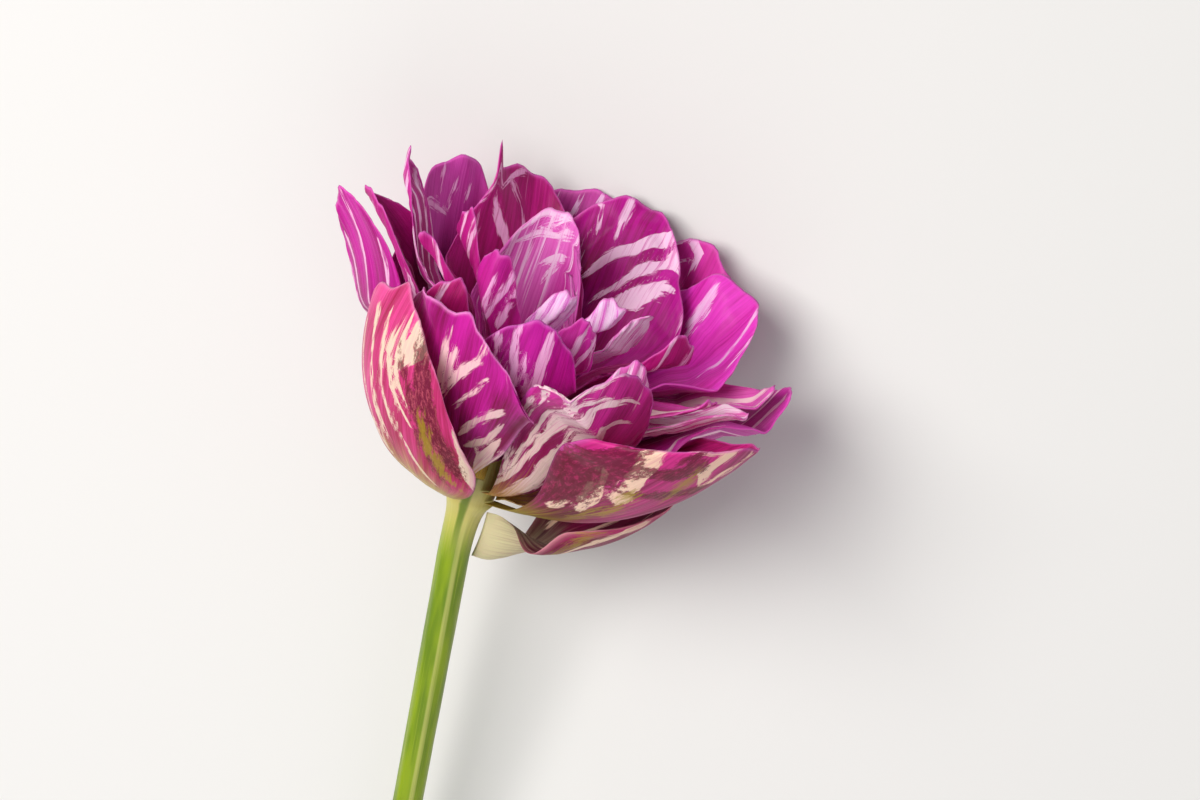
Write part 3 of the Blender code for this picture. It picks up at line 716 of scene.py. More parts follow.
def look_of(flames=(), mottle=(), olive=(), deep=DEEP, bright=BRIGHT, pale=PALE, inside=None, rim=PINK,
            scatter=0.5, feather=0.6, streak=0.5, grain=PINK, base=YELLOW, base_end=0.2,
            lobes=0.0):
    """How a petal is coloured, and how deeply its side of negative u is lobed, 1 being to its middle; rim
    is the colour of the painted highlight along its margin.
    """
    return dict(flames=flames, mottle=mottle, olive=olive, deep=deep, bright=bright, pale=pale,
                inside=inside or {}, rim=rim, scatter=scatter, feather=feather, streak=streak,
                grain=grain, base=base, base_end=base_end, lobes=lobes)


def fan(count, half, start, end, low=-0.8, high=0.8):
    """Evenly fanned streaks, lines of constant u from v = start to v = end."""
    return [[(u, start, half * 0.4), (u * 1.05, (start + end) / 2, half), (u, end, half * 0.7)]
            for u in np.linspace(low, high, count)]


# Each petal's deep and bright tones are partly painted light: petals that light shines through are given
# lighter tones, a painted glow.
LOOKS = {
    "petal_outer_front_left": look_of(
        flames=[[(0.49, 1, 2.5), (0.47, 0.96, 2.5), (0.33, 0.83, 1.6)],
                [(-0.18, 0.91, 0.3), (-0.09, 0.77, 0.6), (0.04, 0.59, 0.6), (0.16, 0.44, 0.5)],
                [(0, 0.89, 0.4), (0.07, 0.78, 0.6), (0.13, 0.66, 0.6), (0.31, 0.52, 0.4)],
                [(0.18, 0.93, 0.4), (0.16, 0.8, 0.8), (0.27, 0.69, 0.7), (0.47, 0.62, 0.5)],
                [(0.27, 0.99, 0.4), (0.27, 0.86, 0.8), (0.29, 0.76, 0.8), (0.47, 0.68, 0.5)],
                [(1, 0.92, 0.9), (0.98, 0.73, 1.0), (0.96, 0.54, 0.9)],
                [(-0.36, 0.86, 0.3), (-0.29, 0.68, 0.5), (-0.07, 0.52, 0.5), (0.07, 0.34, 0.4)],
                [(0.31, 0.73, 0.3), (0.33, 0.59, 0.4), (0.47, 0.44, 0.4), (0.67, 0.34, 0.3)],
                [(0.09, 0.47, 0.3), (0.09, 0.29, 0.4), (0.56, 0.26, 0.3)],
                [(-0.31, 0.74, 0.2), (-0.24, 0.58, 0.3), (0, 0.46, 0.3)]],
        mottle=[[(0.58, 0.93, 2.9), (0.64, 0.81, 3.3), (0.76, 0.68, 3.3), (0.84, 0.56, 1.6)],
                [(0.38, 0.8, 1.2), (0.53, 0.72, 1.9), (0.62, 0.67, 1.8), (0.71, 0.48, 1.6)]],
        olive=[[(0.64, 0.69, 1.4), (0.67, 0.56, 1.6), (0.8, 0.46, 1.4), (0.91, 0.43, 0.8)],
                [(0.09, 0.4, 0.5), (0.42, 0.29, 0.7), (0.84, 0.28, 0.8)]],
        deep=rgb(160, 14, 66), bright=rgb(240, 74, 156), pale=CREAM, rim=rgb(246, 140, 190), scatter=0.2,
        feather=0.55, streak=0.15, grain=rgb(206, 96, 110), base=rgb(206, 194, 96), base_end=0.5),
    "petal_front_left": look_of(
        flames=[[(-0.18, 0.92, 0.4), (-0.18, 0.82, 0.8), (-0.2, 0.7, 0.7)],
                [(-0.04, 0.83, 0.5), (-0.09, 0.72, 0.9), (-0.16, 0.64, 0.6)],
                [(0.33, 1, 0.5), (0.27, 0.87, 0.7), (0.07, 0.74, 0.8), (-0.11, 0.61, 0.6)],
                [(0.67, 0.7, 0.4), (0.47, 0.57, 0.6), (0.27, 0.44, 0.5)],
                [(0.42, 0.81, 0.3), (0.27, 0.67, 0.5), (0.07, 0.56, 0.4)],
                [(0.73, 0.6, 0.3), (0.69, 0.46, 0.5), (0.44, 0.37, 0.4)],
                [(1, 0.46, 0.3), (1, 0.32, 0.4), (0.56, 0.39, 0.3)],
                [(0.84, 0.46, 0.8), (0.82, 0.34, 1.1), (0.98, 0.22, 0.7)]],
        deep=rgb(128, 3, 64), bright=rgb(212, 30, 164), pale=rgb(252, 204, 208), rim=rgb(250, 150, 220),
        scatter=0.3, feather=0.55, base=rgb(216, 150, 50), base_end=0.3),
    "petal_front_centre": look_of(
        flames=[[(-0.33, 1, 0.5), (-0.27, 0.91, 0.8), (-0.13, 0.73, 1.0), (-0.02, 0.5, 0.8)],
                [(0.22, 0.96, 0.9), (0.2, 0.83, 1.2), (0.22, 0.7, 0.9), (0.38, 0.4, 0.5)],
                [(-0.56, 0.99, 0.4), (-0.4, 0.8, 0.6), (-0.24, 0.62, 0.5)],
                [(-0.04, 0.82, 0.1), (0.16, 0.58, 0.2)], [(0.07, 0.73, 0.1), (0.29, 0.41, 0.2)]],
        deep=rgb(130, 1, 80), bright=rgb(202, 14, 160), pale=rgb(252, 184, 230), rim=rgb(236, 110, 210),
        scatter=0.1, feather=0.6),
    "petal_front_right": look_of(
        flames=[[(-0.82, 0.2, 0.6), (-0.27, 0.34, 0.9), (-0.11, 0.51, 1.2), (-0.33, 0.86, 1.0),
                 (0.24, 0.91, 0.6)],
                [(0.09, 0.14, 0.8), (0.58, 0.34, 1.4), (0.49, 0.52, 1.4), (0, 0.76, 0.7),
                 (0.42, 0.83, 0.3)],
                [(-0.82, 0.26, 0.4), (-0.47, 0.39, 0.5), (-0.47, 0.63, 0.5), (-0.67, 0.99, 0.4)],
                [(-0.73, 0.99, 1.4), (-0.58, 1, 1.9), (-0.49, 1, 1.8)],
                [(-0.91, 0.44, 0.2), (-0.78, 0.64, 0.3), (-0.84, 0.93, 0.3)],
                [(-0.82, 0.29, 0.3), (-0.2, 0.46, 0.5), (-0.58, 0.92, 0.6), (-0.2, 0.9, 0.4)],
                [(0.02, 0.21, 0.3), (0.51, 0.41, 0.5), (-0.09, 0.71, 0.5)],
                [(-0.76, 0.22, 0.3), (-0.93, 0.56, 0.4), (-0.91, 0.84, 0.3)]],
        deep=rgb(142, 6, 76), bright=rgb(224, 48, 166), pale=rgb(255, 216, 224), rim=rgb(214, 84, 186),
        scatter=0.5, feather=0.7, streak=0.6, base=rgb(206, 150, 60), base_end=0.3),
    "petal_outer_front_right": look_of(
        flames=[[(-0.71, 1, 1.2), (-0.71, 0.98, 1.3), (-0.6, 0.8, 1.3), (-0.47, 0.62, 1.2)],
                [(-0.73, 0.64, 0.4), (-0.67, 0.5, 0.4)],
                [(-0.76, 0.77, 0.3), (-0.62, 0.58, 0.5), (-0.56, 0.44, 0.5)],
                [(-0.47, 1, 0.6), (-0.2, 1, 0.8)],
                [(-0.18, 0.98, 1.4), (-0.22, 0.9, 1.2), (-0.09, 0.81, 0.5)],
                [(0.07, 0.99, 0.3), (0.07, 0.9, 0.3), (-0.04, 0.81, 0.3)],
                [(0.11, 0.97, 0.2), (-0.02, 0.89, 0.2), (-0.07, 0.78, 0.2)],
                [(-0.73, 0.44, 0.2), (-0.78, 0.36, 0.3)]],
        mottle=[[(-0.93, 0.46, 2.5), (-0.84, 0.68, 3.9), (-0.8, 0.86, 3.3), (-0.8, 0.94, 1.9)],
                [(-0.58, 0.87, 1.2), (-0.44, 0.86, 2.9), (-0.36, 0.9, 2.5), (-0.47, 1, 1.0)],
                [(-0.44, 0.69, 1.6), (-0.29, 0.72, 2.5), (-0.09, 0.78, 1.4)]],
        olive=[[(-0.47, 0.68, 1.0), (-0.36, 0.52, 1.2), (-0.29, 0.34, 0.8)],
                [(-0.29, 0.91, 1.0), (-0.24, 0.8, 1.0), (-0.2, 0.71, 0.8)]],
        deep=rgb(98, 0, 36), bright=rgb(216, 38, 140), pale=rgb(250, 208, 184), rim=rgb(222, 92, 180),
        scatter=0.15, feather=0.55, streak=0.3, grain=rgb(176, 34, 92), base=rgb(170, 150, 40),
        base_end=0.4),
    "petal_back_fan": look_of(
        flames=[[(0.36, 0.7, 0.4), (0.18, 0.77, 1.0), (-0.09, 0.84, 1.4), (-0.4, 0.99, 0.9)],
                [(0.07, 0.64, 0.6), (-0.13, 0.73, 1.0), (-0.33, 0.84, 1.0), (-0.6, 0.99, 0.6)],
                [(-0.16, 0.63, 1.0), (-0.42, 0.74, 1.9), (-0.67, 0.92, 0.8)],
                [(-0.44, 0.91, 0.7), (-0.56, 1, 1.1), (-0.56, 1, 0.7)],
                [(0.16, 0.87, 0.5), (0.18, 0.92, 1.0), (0.16, 0.97, 0.9)],
                [(0.38, 0.9, 0.3), (0.42, 0.98, 0.5), (0.47, 1, 0.5)],
                [(0.47, 0.61, 0.2), (0.44, 0.76, 0.3), (0.47, 0.89, 0.2)]],
        deep=rgb(138, 1, 76), bright=rgb(206, 16, 162), pale=rgb(255, 208, 238), scatter=0.2,
        feather=0.6, streak=0.6),
    "petal_back_right": look_of(
        flames=[[(-0.38, 0.76, 0.3), (-0.31, 0.9, 0.6), (-0.24, 0.99, 0.8), (-0.18, 1, 0.7)],
                [(0.29, 0.79, 0.5), (0.29, 0.88, 1.2), (0.29, 0.93, 0.9)],
                [(0.27, 0.68, 0.3), (0.22, 0.79, 0.5), (0.2, 0.86, 0.4)],
                [(-0.53, 0.91, 0.2), (-0.49, 1, 0.3)]],
        deep=rgb(186, 4, 132), bright=rgb(240, 60, 206), pale=rgb(252, 196, 240), scatter=0.0,
        feather=0.55),
    "petal_back_broad": look_of(
        flames=[[(0.04, 0.68, 0.7), (0.2, 0.78, 0.8), (0.38, 0.89, 0.6)],
                [(-0.11, 0.77, 0.4), (-0.04, 0.86, 0.7), (0.11, 0.92, 0.6)],
                [(0.62, 1, 0.4), (0.33, 0.93, 0.6), (0.02, 0.98, 0.5)],
                [(0.56, 0.82, 0.2), (0.6, 0.96, 0.4)]],
        deep=rgb(132, 2, 66), bright=rgb(200, 22, 138), pale=rgb(246, 180, 224), scatter=0.1, feather=0.6),
    "petal_back_lobed": look_of(
        flames=[[(0.69, 0.93, 0.6), (0.36, 0.88, 0.9), (-0.02, 0.89, 0.9), (-0.24, 0.94, 0.8)],
                [(0.67, 0.99, 0.5), (0.42, 0.99, 1.2), (-0.02, 1, 1.2)],
                [(0.33, 0.91, 0.6), (-0.02, 0.97, 1.0)], [(0.02, 0.78, 0.8), (-0.2, 0.83, 0.9)],
                [(-0.02, 0.7, 0.4), (-0.13, 0.77, 0.6)]],
        lobes=0.5, deep=rgb(206, 50, 162), bright=rgb(240, 120, 212), pale=rgb(255, 214, 244), scatter=1.2,
        feather=0.65, streak=0.7),
    "petal_back_left_tall": look_of(
        flames=[[(0.49, 0.91, 1.0), (0.16, 0.83, 0.6)],
                [(0.07, 0.83, 0.3), (0, 0.89, 0.5), (-0.02, 0.92, 0.4)],
                [(0.24, 0.9, 0.3), (0.22, 0.97, 0.5)], [(-0.18, 0.87, 0.3), (-0.22, 0.92, 0.3)],
                [(-0.11, 0.67, 0.3), (-0.24, 0.79, 0.4)]],
        deep=rgb(184, 30, 140), bright=rgb(222, 84, 190), pale=rgb(250, 184, 230), scatter=0.3),
    "petal_inner_broad": look_of(
        flames=[[(0.13, 0.7, 0.4), (0.38, 0.88, 0.5), (0.44, 1, 0.3)],
                [(0.42, 0.71, 0.3), (0.69, 1, 0.4), (0.47, 1, 0.3)],
                [(0.02, 0.74, 0.1), (0.04, 0.88, 0.2)]],
        deep=rgb(166, 4, 104), bright=rgb(204, 24, 156), pale=rgb(250, 180, 230), scatter=0.2),
    "petal_inner_front": look_of(
        flames=[[(-0.04, 0.79, 0.6), (0.04, 0.89, 0.8), (0.13, 0.94, 0.5)],
                [(0.33, 0.79, 0.4), (0.51, 0.92, 0.5), (0.53, 0.98, 0.4)],
                [(0.71, 0.9, 0.3), (0.56, 0.93, 0.3)]],
        deep=rgb(176, 6, 118), bright=rgb(226, 56, 186), pale=rgb(255, 206, 242), scatter=0.4, streak=0.5),
    "petal_outer_back_right": look_of(
        flames=[[(0.67, 1, 0.6), (0.53, 0.99, 0.7), (0.29, 1, 0.6)],
                [(0.22, 0.99, 0.7), (0.07, 0.96, 0.8), (0.07, 0.91, 0.6)],
                [(0.38, 0.9, 0.4), (0.18, 0.93, 0.4)]],
        deep=rgb(160, 10, 96), bright=rgb(214, 50, 166), pale=rgb(250, 196, 234), scatter=0.4),
    "petal_outer_back": look_of(
        flames=[[(0.16, 0.92, 0.2), (0.13, 0.99, 0.4)], [(-0.07, 0.96, 0.3), (-0.09, 0.99, 0.5)],
                [(-0.38, 1, 0.6), (-0.33, 1, 0.7)]],
        deep=rgb(150, 20, 104), bright=rgb(196, 60, 160), pale=rgb(240, 190, 230), scatter=0.4),
    "petal_outer_left": look_of(
        flames=[[(-0.95, 0.5, 0.5), (-0.92, 0.95, 1.0)], [(-0.6, 0.5, 0.4), (-0.5, 0.9, 0.6)],
                [(-0.1, 0.6, 0.3), (0.05, 0.98, 0.5)], [(0.5, 0.45, 0.4), (0.6, 0.9, 0.6)],
                [(0.9, 0.5, 0.4), (0.92, 0.9, 0.8)]],
        deep=rgb(150, 6, 96), bright=rgb(216, 30, 172), scatter=0.3),
    "petal_outer_right": look_of(
        flames=fan(3, 0.8, 0.5, 0.95), deep=rgb(170, 12, 120), bright=rgb(216, 60, 180),
        pale=rgb(252, 206, 226), scatter=0.6),
    "petal_left_curled": look_of(
        flames=[[(-0.75, 0.4, 0.4), (-0.7, 0.95, 0.8)], [(0.8, 0.4, 0.3), (0.85, 0.9, 0.5)],
                [(0.1, 0.6, 0.2), (0.15, 0.95, 0.5)]],
        deep=rgb(150, 4, 92), bright=rgb(196, 18, 138), scatter=0.2),
    "petal_left_narrow": look_of(
        flames=fan(5, 0.45, 0.4, 0.98, -0.85, 0.85), deep=rgb(160, 6, 100), bright=rgb(210, 40, 160),
        pale=rgb(255, 206, 240), scatter=0.2),
    "petal_right_front_low": look_of(
        flames=[[(0.0, 0.3, 0.5), (0.05, 0.6, 1.2), (0.0, 0.95, 0.9)]], deep=rgb(176, 14, 104),
        bright=rgb(228, 66, 176), pale=rgb(250, 214, 214), scatter=0.3),
    "petal_right_low": look_of(
        flames=fan(5, 1.0, 0.35, 1.0), deep=rgb(206, 60, 150), bright=rgb(240, 110, 194),
        pale=rgb(255, 214, 234), scatter=0.8, streak=0.8),
    "petal_right_small": look_of(
        flames=fan(4, 0.9, 0.4, 1.0), deep=rgb(190, 30, 130), bright=rgb(230, 96, 190),
        pale=rgb(252, 214, 220), scatter=0.7),
    "petal_inner_left": look_of(
        flames=[[(-0.85, 0.5, 0.4), (-0.88, 0.98, 0.6)], [(0.5, 0.6, 0.3), (0.4, 0.98, 0.5)]],
        deep=rgb(158, 4, 92), bright=rgb(200, 20, 140), scatter=0.2),
    "petal_left_middle": look_of(
        flames=[[(0.85, 0.5, 0.4), (0.9, 0.98, 0.7)], [(-0.35, 0.6, 0.3), (-0.2, 1.0, 0.5)],
                [(-0.9, 0.5, 0.4), (-0.9, 1.0, 0.7)]],
        deep=rgb(150, 3, 78), bright=rgb(192, 14, 120), scatter=0.1),
    "petal_inner_back_left": look_of(
        flames=[[(-0.25, 0.6, 0.3), (-0.1, 1.0, 0.5)], [(0.85, 0.5, 0.4), (0.9, 0.98, 0.7)],
                [(0.3, 0.75, 0.3), (0.4, 1.0, 0.5)]],
        deep=rgb(160, 4, 96), bright=rgb(204, 24, 146), scatter=0.2),
    "petal_right_dark": look_of(
        flames=[[(-0.45, 0.7, 0.3), (-0.3, 1.0, 0.5)], [(0.3, 0.6, 0.3), (0.35, 1.0, 0.5)]],
        deep=rgb(160, 3, 96), bright=rgb(206, 16, 140), scatter=0.0),
    "petal_inner_front_right": look_of(
        flames=fan(6, 0.7, 0.3, 1.0), deep=rgb(206, 70, 160), bright=rgb(240, 120, 208),
        pale=rgb(255, 216, 244), scatter=0.9, feather=0.7, streak=0.8),
    "petal_inner_right_pale": look_of(
        flames=fan(7, 1.0, 0.2, 1.0), deep=rgb(214, 96, 176), bright=rgb(242, 140, 216),
        pale=rgb(255, 222, 246), scatter=1.1, feather=0.75, streak=0.7),
    "petal_heart_pale": look_of(
        flames=fan(7, 1.1, 0.2, 1.0), deep=rgb(206, 80, 180), bright=rgb(238, 130, 222),
        pale=rgb(255, 218, 250), scatter=1.1, feather=0.75, streak=0.7),
    "petal_heart": look_of(
        flames=fan(6, 1.0, 0.2, 1.0), deep=rgb(200, 80, 176), bright=rgb(232, 130, 220),
        pale=rgb(250, 210, 246), scatter=1.0, feather=0.75, streak=0.7),
    "petal_outer_back_left": look_of(
        deep=rgb(160, 14, 110), bright=rgb(206, 50, 164), scatter=0.5),
    "petal_bract": look_of(
        flames=[[(-0.75, 0.4, 0.5), (-0.7, 0.95, 0.7)], [(-0.2, 0.5, 0.3), (-0.1, 0.9, 0.5)],
                [(0.3, 0.45, 0.4), (0.35, 0.9, 0.6)], [(0.75, 0.4, 0.3), (0.8, 0.9, 0.5)]],
        olive=[[(-0.9, 0.3, 0.9), (-0.92, 0.9, 0.9)], [(0.92, 0.3, 0.9), (0.92, 0.9, 0.9)]],
        deep=rgb(112, 4, 50), bright=rgb(190, 44, 110), pale=rgb(240, 206, 180),
        inside={"Deep": rgb(84, 0, 34), "Bright": rgb(150, 10, 84)}, scatter=0.5, feather=0.6,
        rim=rgb(226, 150, 160), base=rgb(226, 214, 168), base_end=0.45),
}


# Effects that petals share, each a shader group
def petal_effect(name, inputs, output="Colour", output_type=COLOUR):
    """A new effect's tree, its inputs, and those of them that say where on a petal it is."""
    inputs = {"Across": 0.0, "Along": 0.0, "Seed": 0.0, **inputs}
    t, given = new_group(name, "ShaderNodeTree", inputs, output, output_type)
    return t, given, (given["Across"], given["Along"], given["Seed"])


def flamed_group():
    """Colour of a petal: magenta shaded along the veins, with feathered pale flames and a painted
    highlight along the upper margin.
    """
    t, given, spot = petal_effect("flamed_colour", {
        "Edge": 1.0, "Flame": -FAR_OUT, "Beside": 0.0, "Passed": 0.0, "Scatter": 0.5, "Feather": 0.5,
        "Streak": 0.5, "Deep": DEEP, "Bright": BRIGHT, "Pale": PALE, "Rim Highlight": PINK})
    across, along, seed = spot
    fine = t.drawn_noise(*spot, 26.0, 2.6, 4.0, 0.6)
    hair = t.drawn_noise(*spot, 60.0, 5.0, 2.0, 0.6)
    loose = t.drawn_noise(*spot, 6.5, 1.4, 1.0)
    broad = t.drawn_noise(across, along, t.math("ADD", seed, 31.0), 3.0, 2.2, 1.0)

    # pale flames along the streaks, and loose ones between them
    fringe = t.drawn_noise(given["Beside"], given["Passed"], seed, 2.0, 0.16, 4.0, 0.6)
    uneven = t.drawn_noise(given["Beside"], given["Passed"], seed, 0.7, 0.12)
    drawn = t.math("MULTIPLY_ADD", fringe, given["Feather"], given["Flame"])
    drawn = t.math("MULTIPLY_ADD", uneven, t.math("MULTIPLY", given["Feather"], 0.7), drawn)
    scattered = t.math("SUBTRACT", t.math("MULTIPLY_ADD", loose, 1.2, given["Scatter"]), 1.7)
    scattered = t.math("MULTIPLY_ADD", fine, given["Feather"], scattered)
    mask = t.ramp(t.math("MAXIMUM", drawn, scattered), -0.15, 0.25)

    # magenta ground, deeper towards the claw
    tone = t.math("MULTIPLY_ADD", broad, 0.3, t.math("MULTIPLY_ADD", fine, 0.22, 0.42))
    tone = t.math("MULTIPLY_ADD", t.math("SUBTRACT", along, 0.65), 0.8, tone)
    tone = t.math("MULTIPLY_ADD", hair, 0.14, tone)
    ground = t.mix(t.ramp(tone, 0.0, 1.0), given["Deep"], given["Bright"])

    # the flames' own colour, creamier towards the claw and lined with magenta
    lines = t.math("MULTIPLY", t.ramp(t.math("ADD", fine, hair), 0.1, 1.0), given["Streak"])
    pale = t.mix(t.ramp(along, 0.3, 0.75, 0.6, 0.0), given["Pale"], CREAM)
    pale = t.mix(lines, pale, given["Bright"])
    colour = t.mix(mask, ground, pale)
    # painted highlight: the rim colour laid over a band along the upper margin, strongest at the very edge
    rim = t.math("MULTIPLY", t.ramp(given["Edge"], 0.25, 1.0, 0.7, 0.0), t.ramp(along, 0.3, 0.6))
    return t.put_out(t.mix(rim, colour, given["Rim Highlight"]))


def mottled_group():
    """Dark granular patches over the colour of a petal's outer face."""
    t, given, spot = petal_effect("mottled_patch", {
        "Ground": PINK, "Outer": 1.0, "Patch": -FAR_OUT, "Grain": PINK})
    spots = t.drawn_noise(*spot, 12.0, 9.0, 6.0, 0.75)
    grains = t.drawn_noise(*spot, 34.0, 30.0, 4.0, 0.8)
    patch = t.math("MULTIPLY_ADD", spots, 1.7, given["Patch"])
    patch = t.ramp(t.math("MULTIPLY_ADD", grains, 1.4, patch), -0.4, 0.7, 0.0, 0.88)
    speckled = t.mix(t.ramp(grains, -0.2, 0.9, 0.0, 0.9), WINE, given["Grain"])
    return t.put_out(t.mix(t.math("MULTIPLY", patch, given["Outer"]), given["Ground"], speckled))


def smeared_group():
    """Yellow-green smears over the colour of a petal's outer face."""
    t, given, (across, along, seed) = petal_effect("olive_smear", {
        "Ground": PINK, "Outer": 1.0, "Smear": -FAR_OUT})
    smear = t.drawn_noise(across, along, t.math("ADD", seed, 3.0), 30.0, 9.0, 6.0, 0.8)
    smear = t.ramp(t.math("MULTIPLY_ADD", smear, 2.4, given["Smear"]), -0.3, 1.2, 0.0, 0.75)
    return t.put_out(t.mix(t.math("MULTIPLY", smear, given["Outer"]), given["Ground"], OLIVE))


def claw_group():
    """A petal's colour turning to that of its claw near the seat."""
    t, given, spot = petal_effect("claw_colour", {"Ground": PINK, "Claw": YELLOW, "Reach": 0.2})
    fade = t.drawn_noise(*spot, 16.0, 2.0, 4.0, 0.6)
    fade = t.ramp(t.math("MULTIPLY_ADD", fade, 0.11, given["Along"]), 0.03, given["Reach"], 1.0, 0.0)
    return t.put_out(t.mix(fade, given["Ground"], given["Claw"]))


def vein_group():
    """Height of the fine lines that run along a petal."""
    t, given, spot = petal_effect("vein_height", {"Lines Across": VEINS_ACROSS}, "Height", NUMBER)
    fine = t.drawn_noise(*spot, given["Lines Across"], 3.0, 3.0, 0.6)
    return t.put_out(t.math("MULTIPLY_ADD", fine, 0.25, 0.5))


FLAMED, MOTTLED, SMEARED, CLAW, VEINS = (
    flamed_group(), mottled_group(), smeared_group(), claw_group(), vein_group())


def living_skin(name, glow, glow_depth):
    """A new plant skin: its material, its tree and its shader."""
    made = bpy.data.materials.new(name)
    made.use_nodes = True
    shader = made.node_tree.nodes["Principled BSDF"]
    shader.inputs["Subsurface Radius"].default_value = glow
    shader.inputs["Subsurface Scale"].default_value = glow_depth * MM
    return made, Tree(made.node_tree), shader


def add_relief(t, shader, height, depth, rough):
    """Bumps of a given depth in millimetres and the sheen that varies with them."""
    bump = t.add("ShaderNodeBump")
    bump.inputs["Strength"].default_value = 0.6
    bump.inputs["Distance"].default_value = depth * MM
    t.link(height, bump.inputs["Height"])
    t.link(bump.outputs["Normal"], shader.inputs["Normal"])
    t.link(t.ramp(height, 0.2, 0.8, rough + 0.07, rough - 0.07), shader.inputs["Roughness"])


def attribute(t, label):
    return t.add("ShaderNodeAttribute", attribute_name=label).outputs["Fac"]


def petal_material(name, look, seed):
    made, t, shader = living_skin(name + "_skin", (1.0, 0.4, 0.9), 0.7)
    spot = {"Across": attribute(t, "across"), "Along": attribute(t, "along"), "Seed": seed}
    outer = attribute(t, "outer")
    tones = {"Deep": look["deep"], "Bright": look["bright"], "Pale": look["pale"]}
    for tone, inner_face in look["inside"].items():
        tones[tone] = t.mix(outer, inner_face, tones[tone])
    # the rim colour is a painted highlight along the petal's margin
    colour = t.placed(FLAMED, {
        **spot, **tones, "Edge": attribute(t, "edge"), "Flame": attribute(t, "streak"),
        "Beside": attribute(t, "beside"), "Passed": attribute(t, "passed"), "Scatter": look["scatter"],
        "Feather": look["feather"], "Streak": look["streak"], "Rim Highlight": look["rim"]})
    if look["mottle"]:
        colour = t.placed(MOTTLED, {**spot, "Ground": colour, "Outer": outer, "Grain": look["grain"],
                                    "Patch": attribute(t, "mottle")})
    if look["olive"]:
        colour = t.placed(SMEARED, {**spot, "Ground": colour, "Outer": outer,
                                    "Smear": attribute(t, "olive")})
    colour = t.placed(CLAW, {**spot, "Ground": colour, "Claw": look["base"], "Reach": look["base_end"]})
    t.link(colour, shader.inputs["Base Color"])
    add_relief(t, shader, t.placed(VEINS, {**spot, "Lines Across": VEINS_ACROSS}), 0.2, 0.46)
    shader.inputs["Specular IOR Level"].default_value = 0.25
    shader.inputs["Sheen Weight"].default_value = 0.05
    shader.inputs["Subsurface Weight"].default_value = 0.2
    return made


def make_petal(name, p, flesh, seed):
    look = LOOKS[name]
    values = {**PETAL_SIZES, "Seed": seed, "Skin": petal_material(name, look, seed)}
    return run_tree(name + "_waved", petal_sheet(name, p, look), flesh, values)


# Stem and pistil
STEM_TONES = {"shade": rgb(104, 134, 8), "light": rgb(140, 164, 14), "threads": rgb(178, 190, 62),
              "pale line": rgb(204, 204, 110), "foot": rgb(72, 112, 10), "collar": rgb(214, 200, 116),
              "wedge": rgb(92, 124, 8)}
PISTIL_TONES = rgb(150, 160, 60), rgb(206, 200, 110)


def stem_material():
    """Green with paler threads, a pale line, a cream collar under the bloom and a wedge below it."""
    made, t, shader = living_skin("stem_skin", (0.6, 1.0, 0.2), 1.5)
    side, front, down = (attribute(t, label) for label in ("side", "front", "down"))

    def near(turn, low, high):
        """1 close to the line at this turn round the stem, 0 further off."""
        angle = 2 * math.pi * turn
        along = t.math("MULTIPLY_ADD", side, math.cos(angle), t.math("MULTIPLY", front, math.sin(angle)))
        return t.ramp(along, 1 - high, 1 - low)

    lines = t.noise(t.math("MULTIPLY", side, 9.0), t.math("MULTIPLY", front, 9.0),
                    t.math("MULTIPLY", down, 7.0), 4.0, 0.6)
    patches = t.noise(side, front, t.math("MULTIPLY", down, 9.0))
    colour = t.mix(t.ramp(patches, -0.6, 0.6), STEM_TONES["shade"], STEM_TONES["light"])
    pale = t.math("MULTIPLY", near(PALE_LINE, 0.002, 0.025), t.ramp(lines, -0.8, 0.2, 0.25, 0.6))
    wedge = t.math("MULTIPLY", near(WEDGE, 0.004, 0.03), t.ramp(down, 0.02, 0.08, 1.0, 0.0))
    layers = {"threads": t.ramp(lines, 0.1, 1.0, 0.0, 0.5),
              "pale line": t.math("MULTIPLY", pale, t.ramp(down, 0.75, 0.95, 1.0, 0.2)),
              "foot": t.ramp(down, 0.7, 1.0),
              "collar": t.ramp(t.math("MULTIPLY_ADD", lines, 0.012, down), 0.0, 0.085, 0.95, 0.0),
              "wedge": t.math("MULTIPLY", wedge, 0.85)}
    for layer, share in layers.items():
        colour = t.mix(share, colour, STEM_TONES[layer])
    t.link(colour, shader.inputs["Base Color"])
    add_relief(t, shader, t.math("MULTIPLY_ADD", lines, 0.25, 0.5), 0.15, 0.38)
    shader.inputs["Subsurface Weight"].default_value = 0.2
    return made


def stem_rows():
    """Centre, radius and distance below the bloom of each ring, from the receptacle to the cut."""
    top, top_radius = ROWS[-1][1] + STUB, ROWS[-1][0] - CLAW_FIT
    rows = [((0.0, 0.0, top - sink), top_radius - 0.4 - inset, 0.0) for sink, inset in CAP_ROWS]
    for height in np.linspace(ROWS[-1][1], 0.0, RECEPTACLE_RINGS):
        radius = float(np.interp(height, [h for r, h in ROWS], [r - CLAW_FIT for r, h in ROWS]))
        rows.append(((0.0, 0.0, height), radius, 0.0))
    for s in np.linspace(0.6, STEM_LENGTH - 0.5, STEM_RINGS):
        swell = (ROWS[0][0] - CLAW_FIT - STEM_TOP_RADIUS) * math.exp(-s / 1.6)
        rows.append((stem_centre(s, FALL), stem_radius(s) + swell, s))
    for sink, inset in reversed(CAP_ROWS):
        s = STEM_LENGTH - sink
        rows.append((stem_centre(s, FALL), stem_radius(s) - inset, s))
    return rows


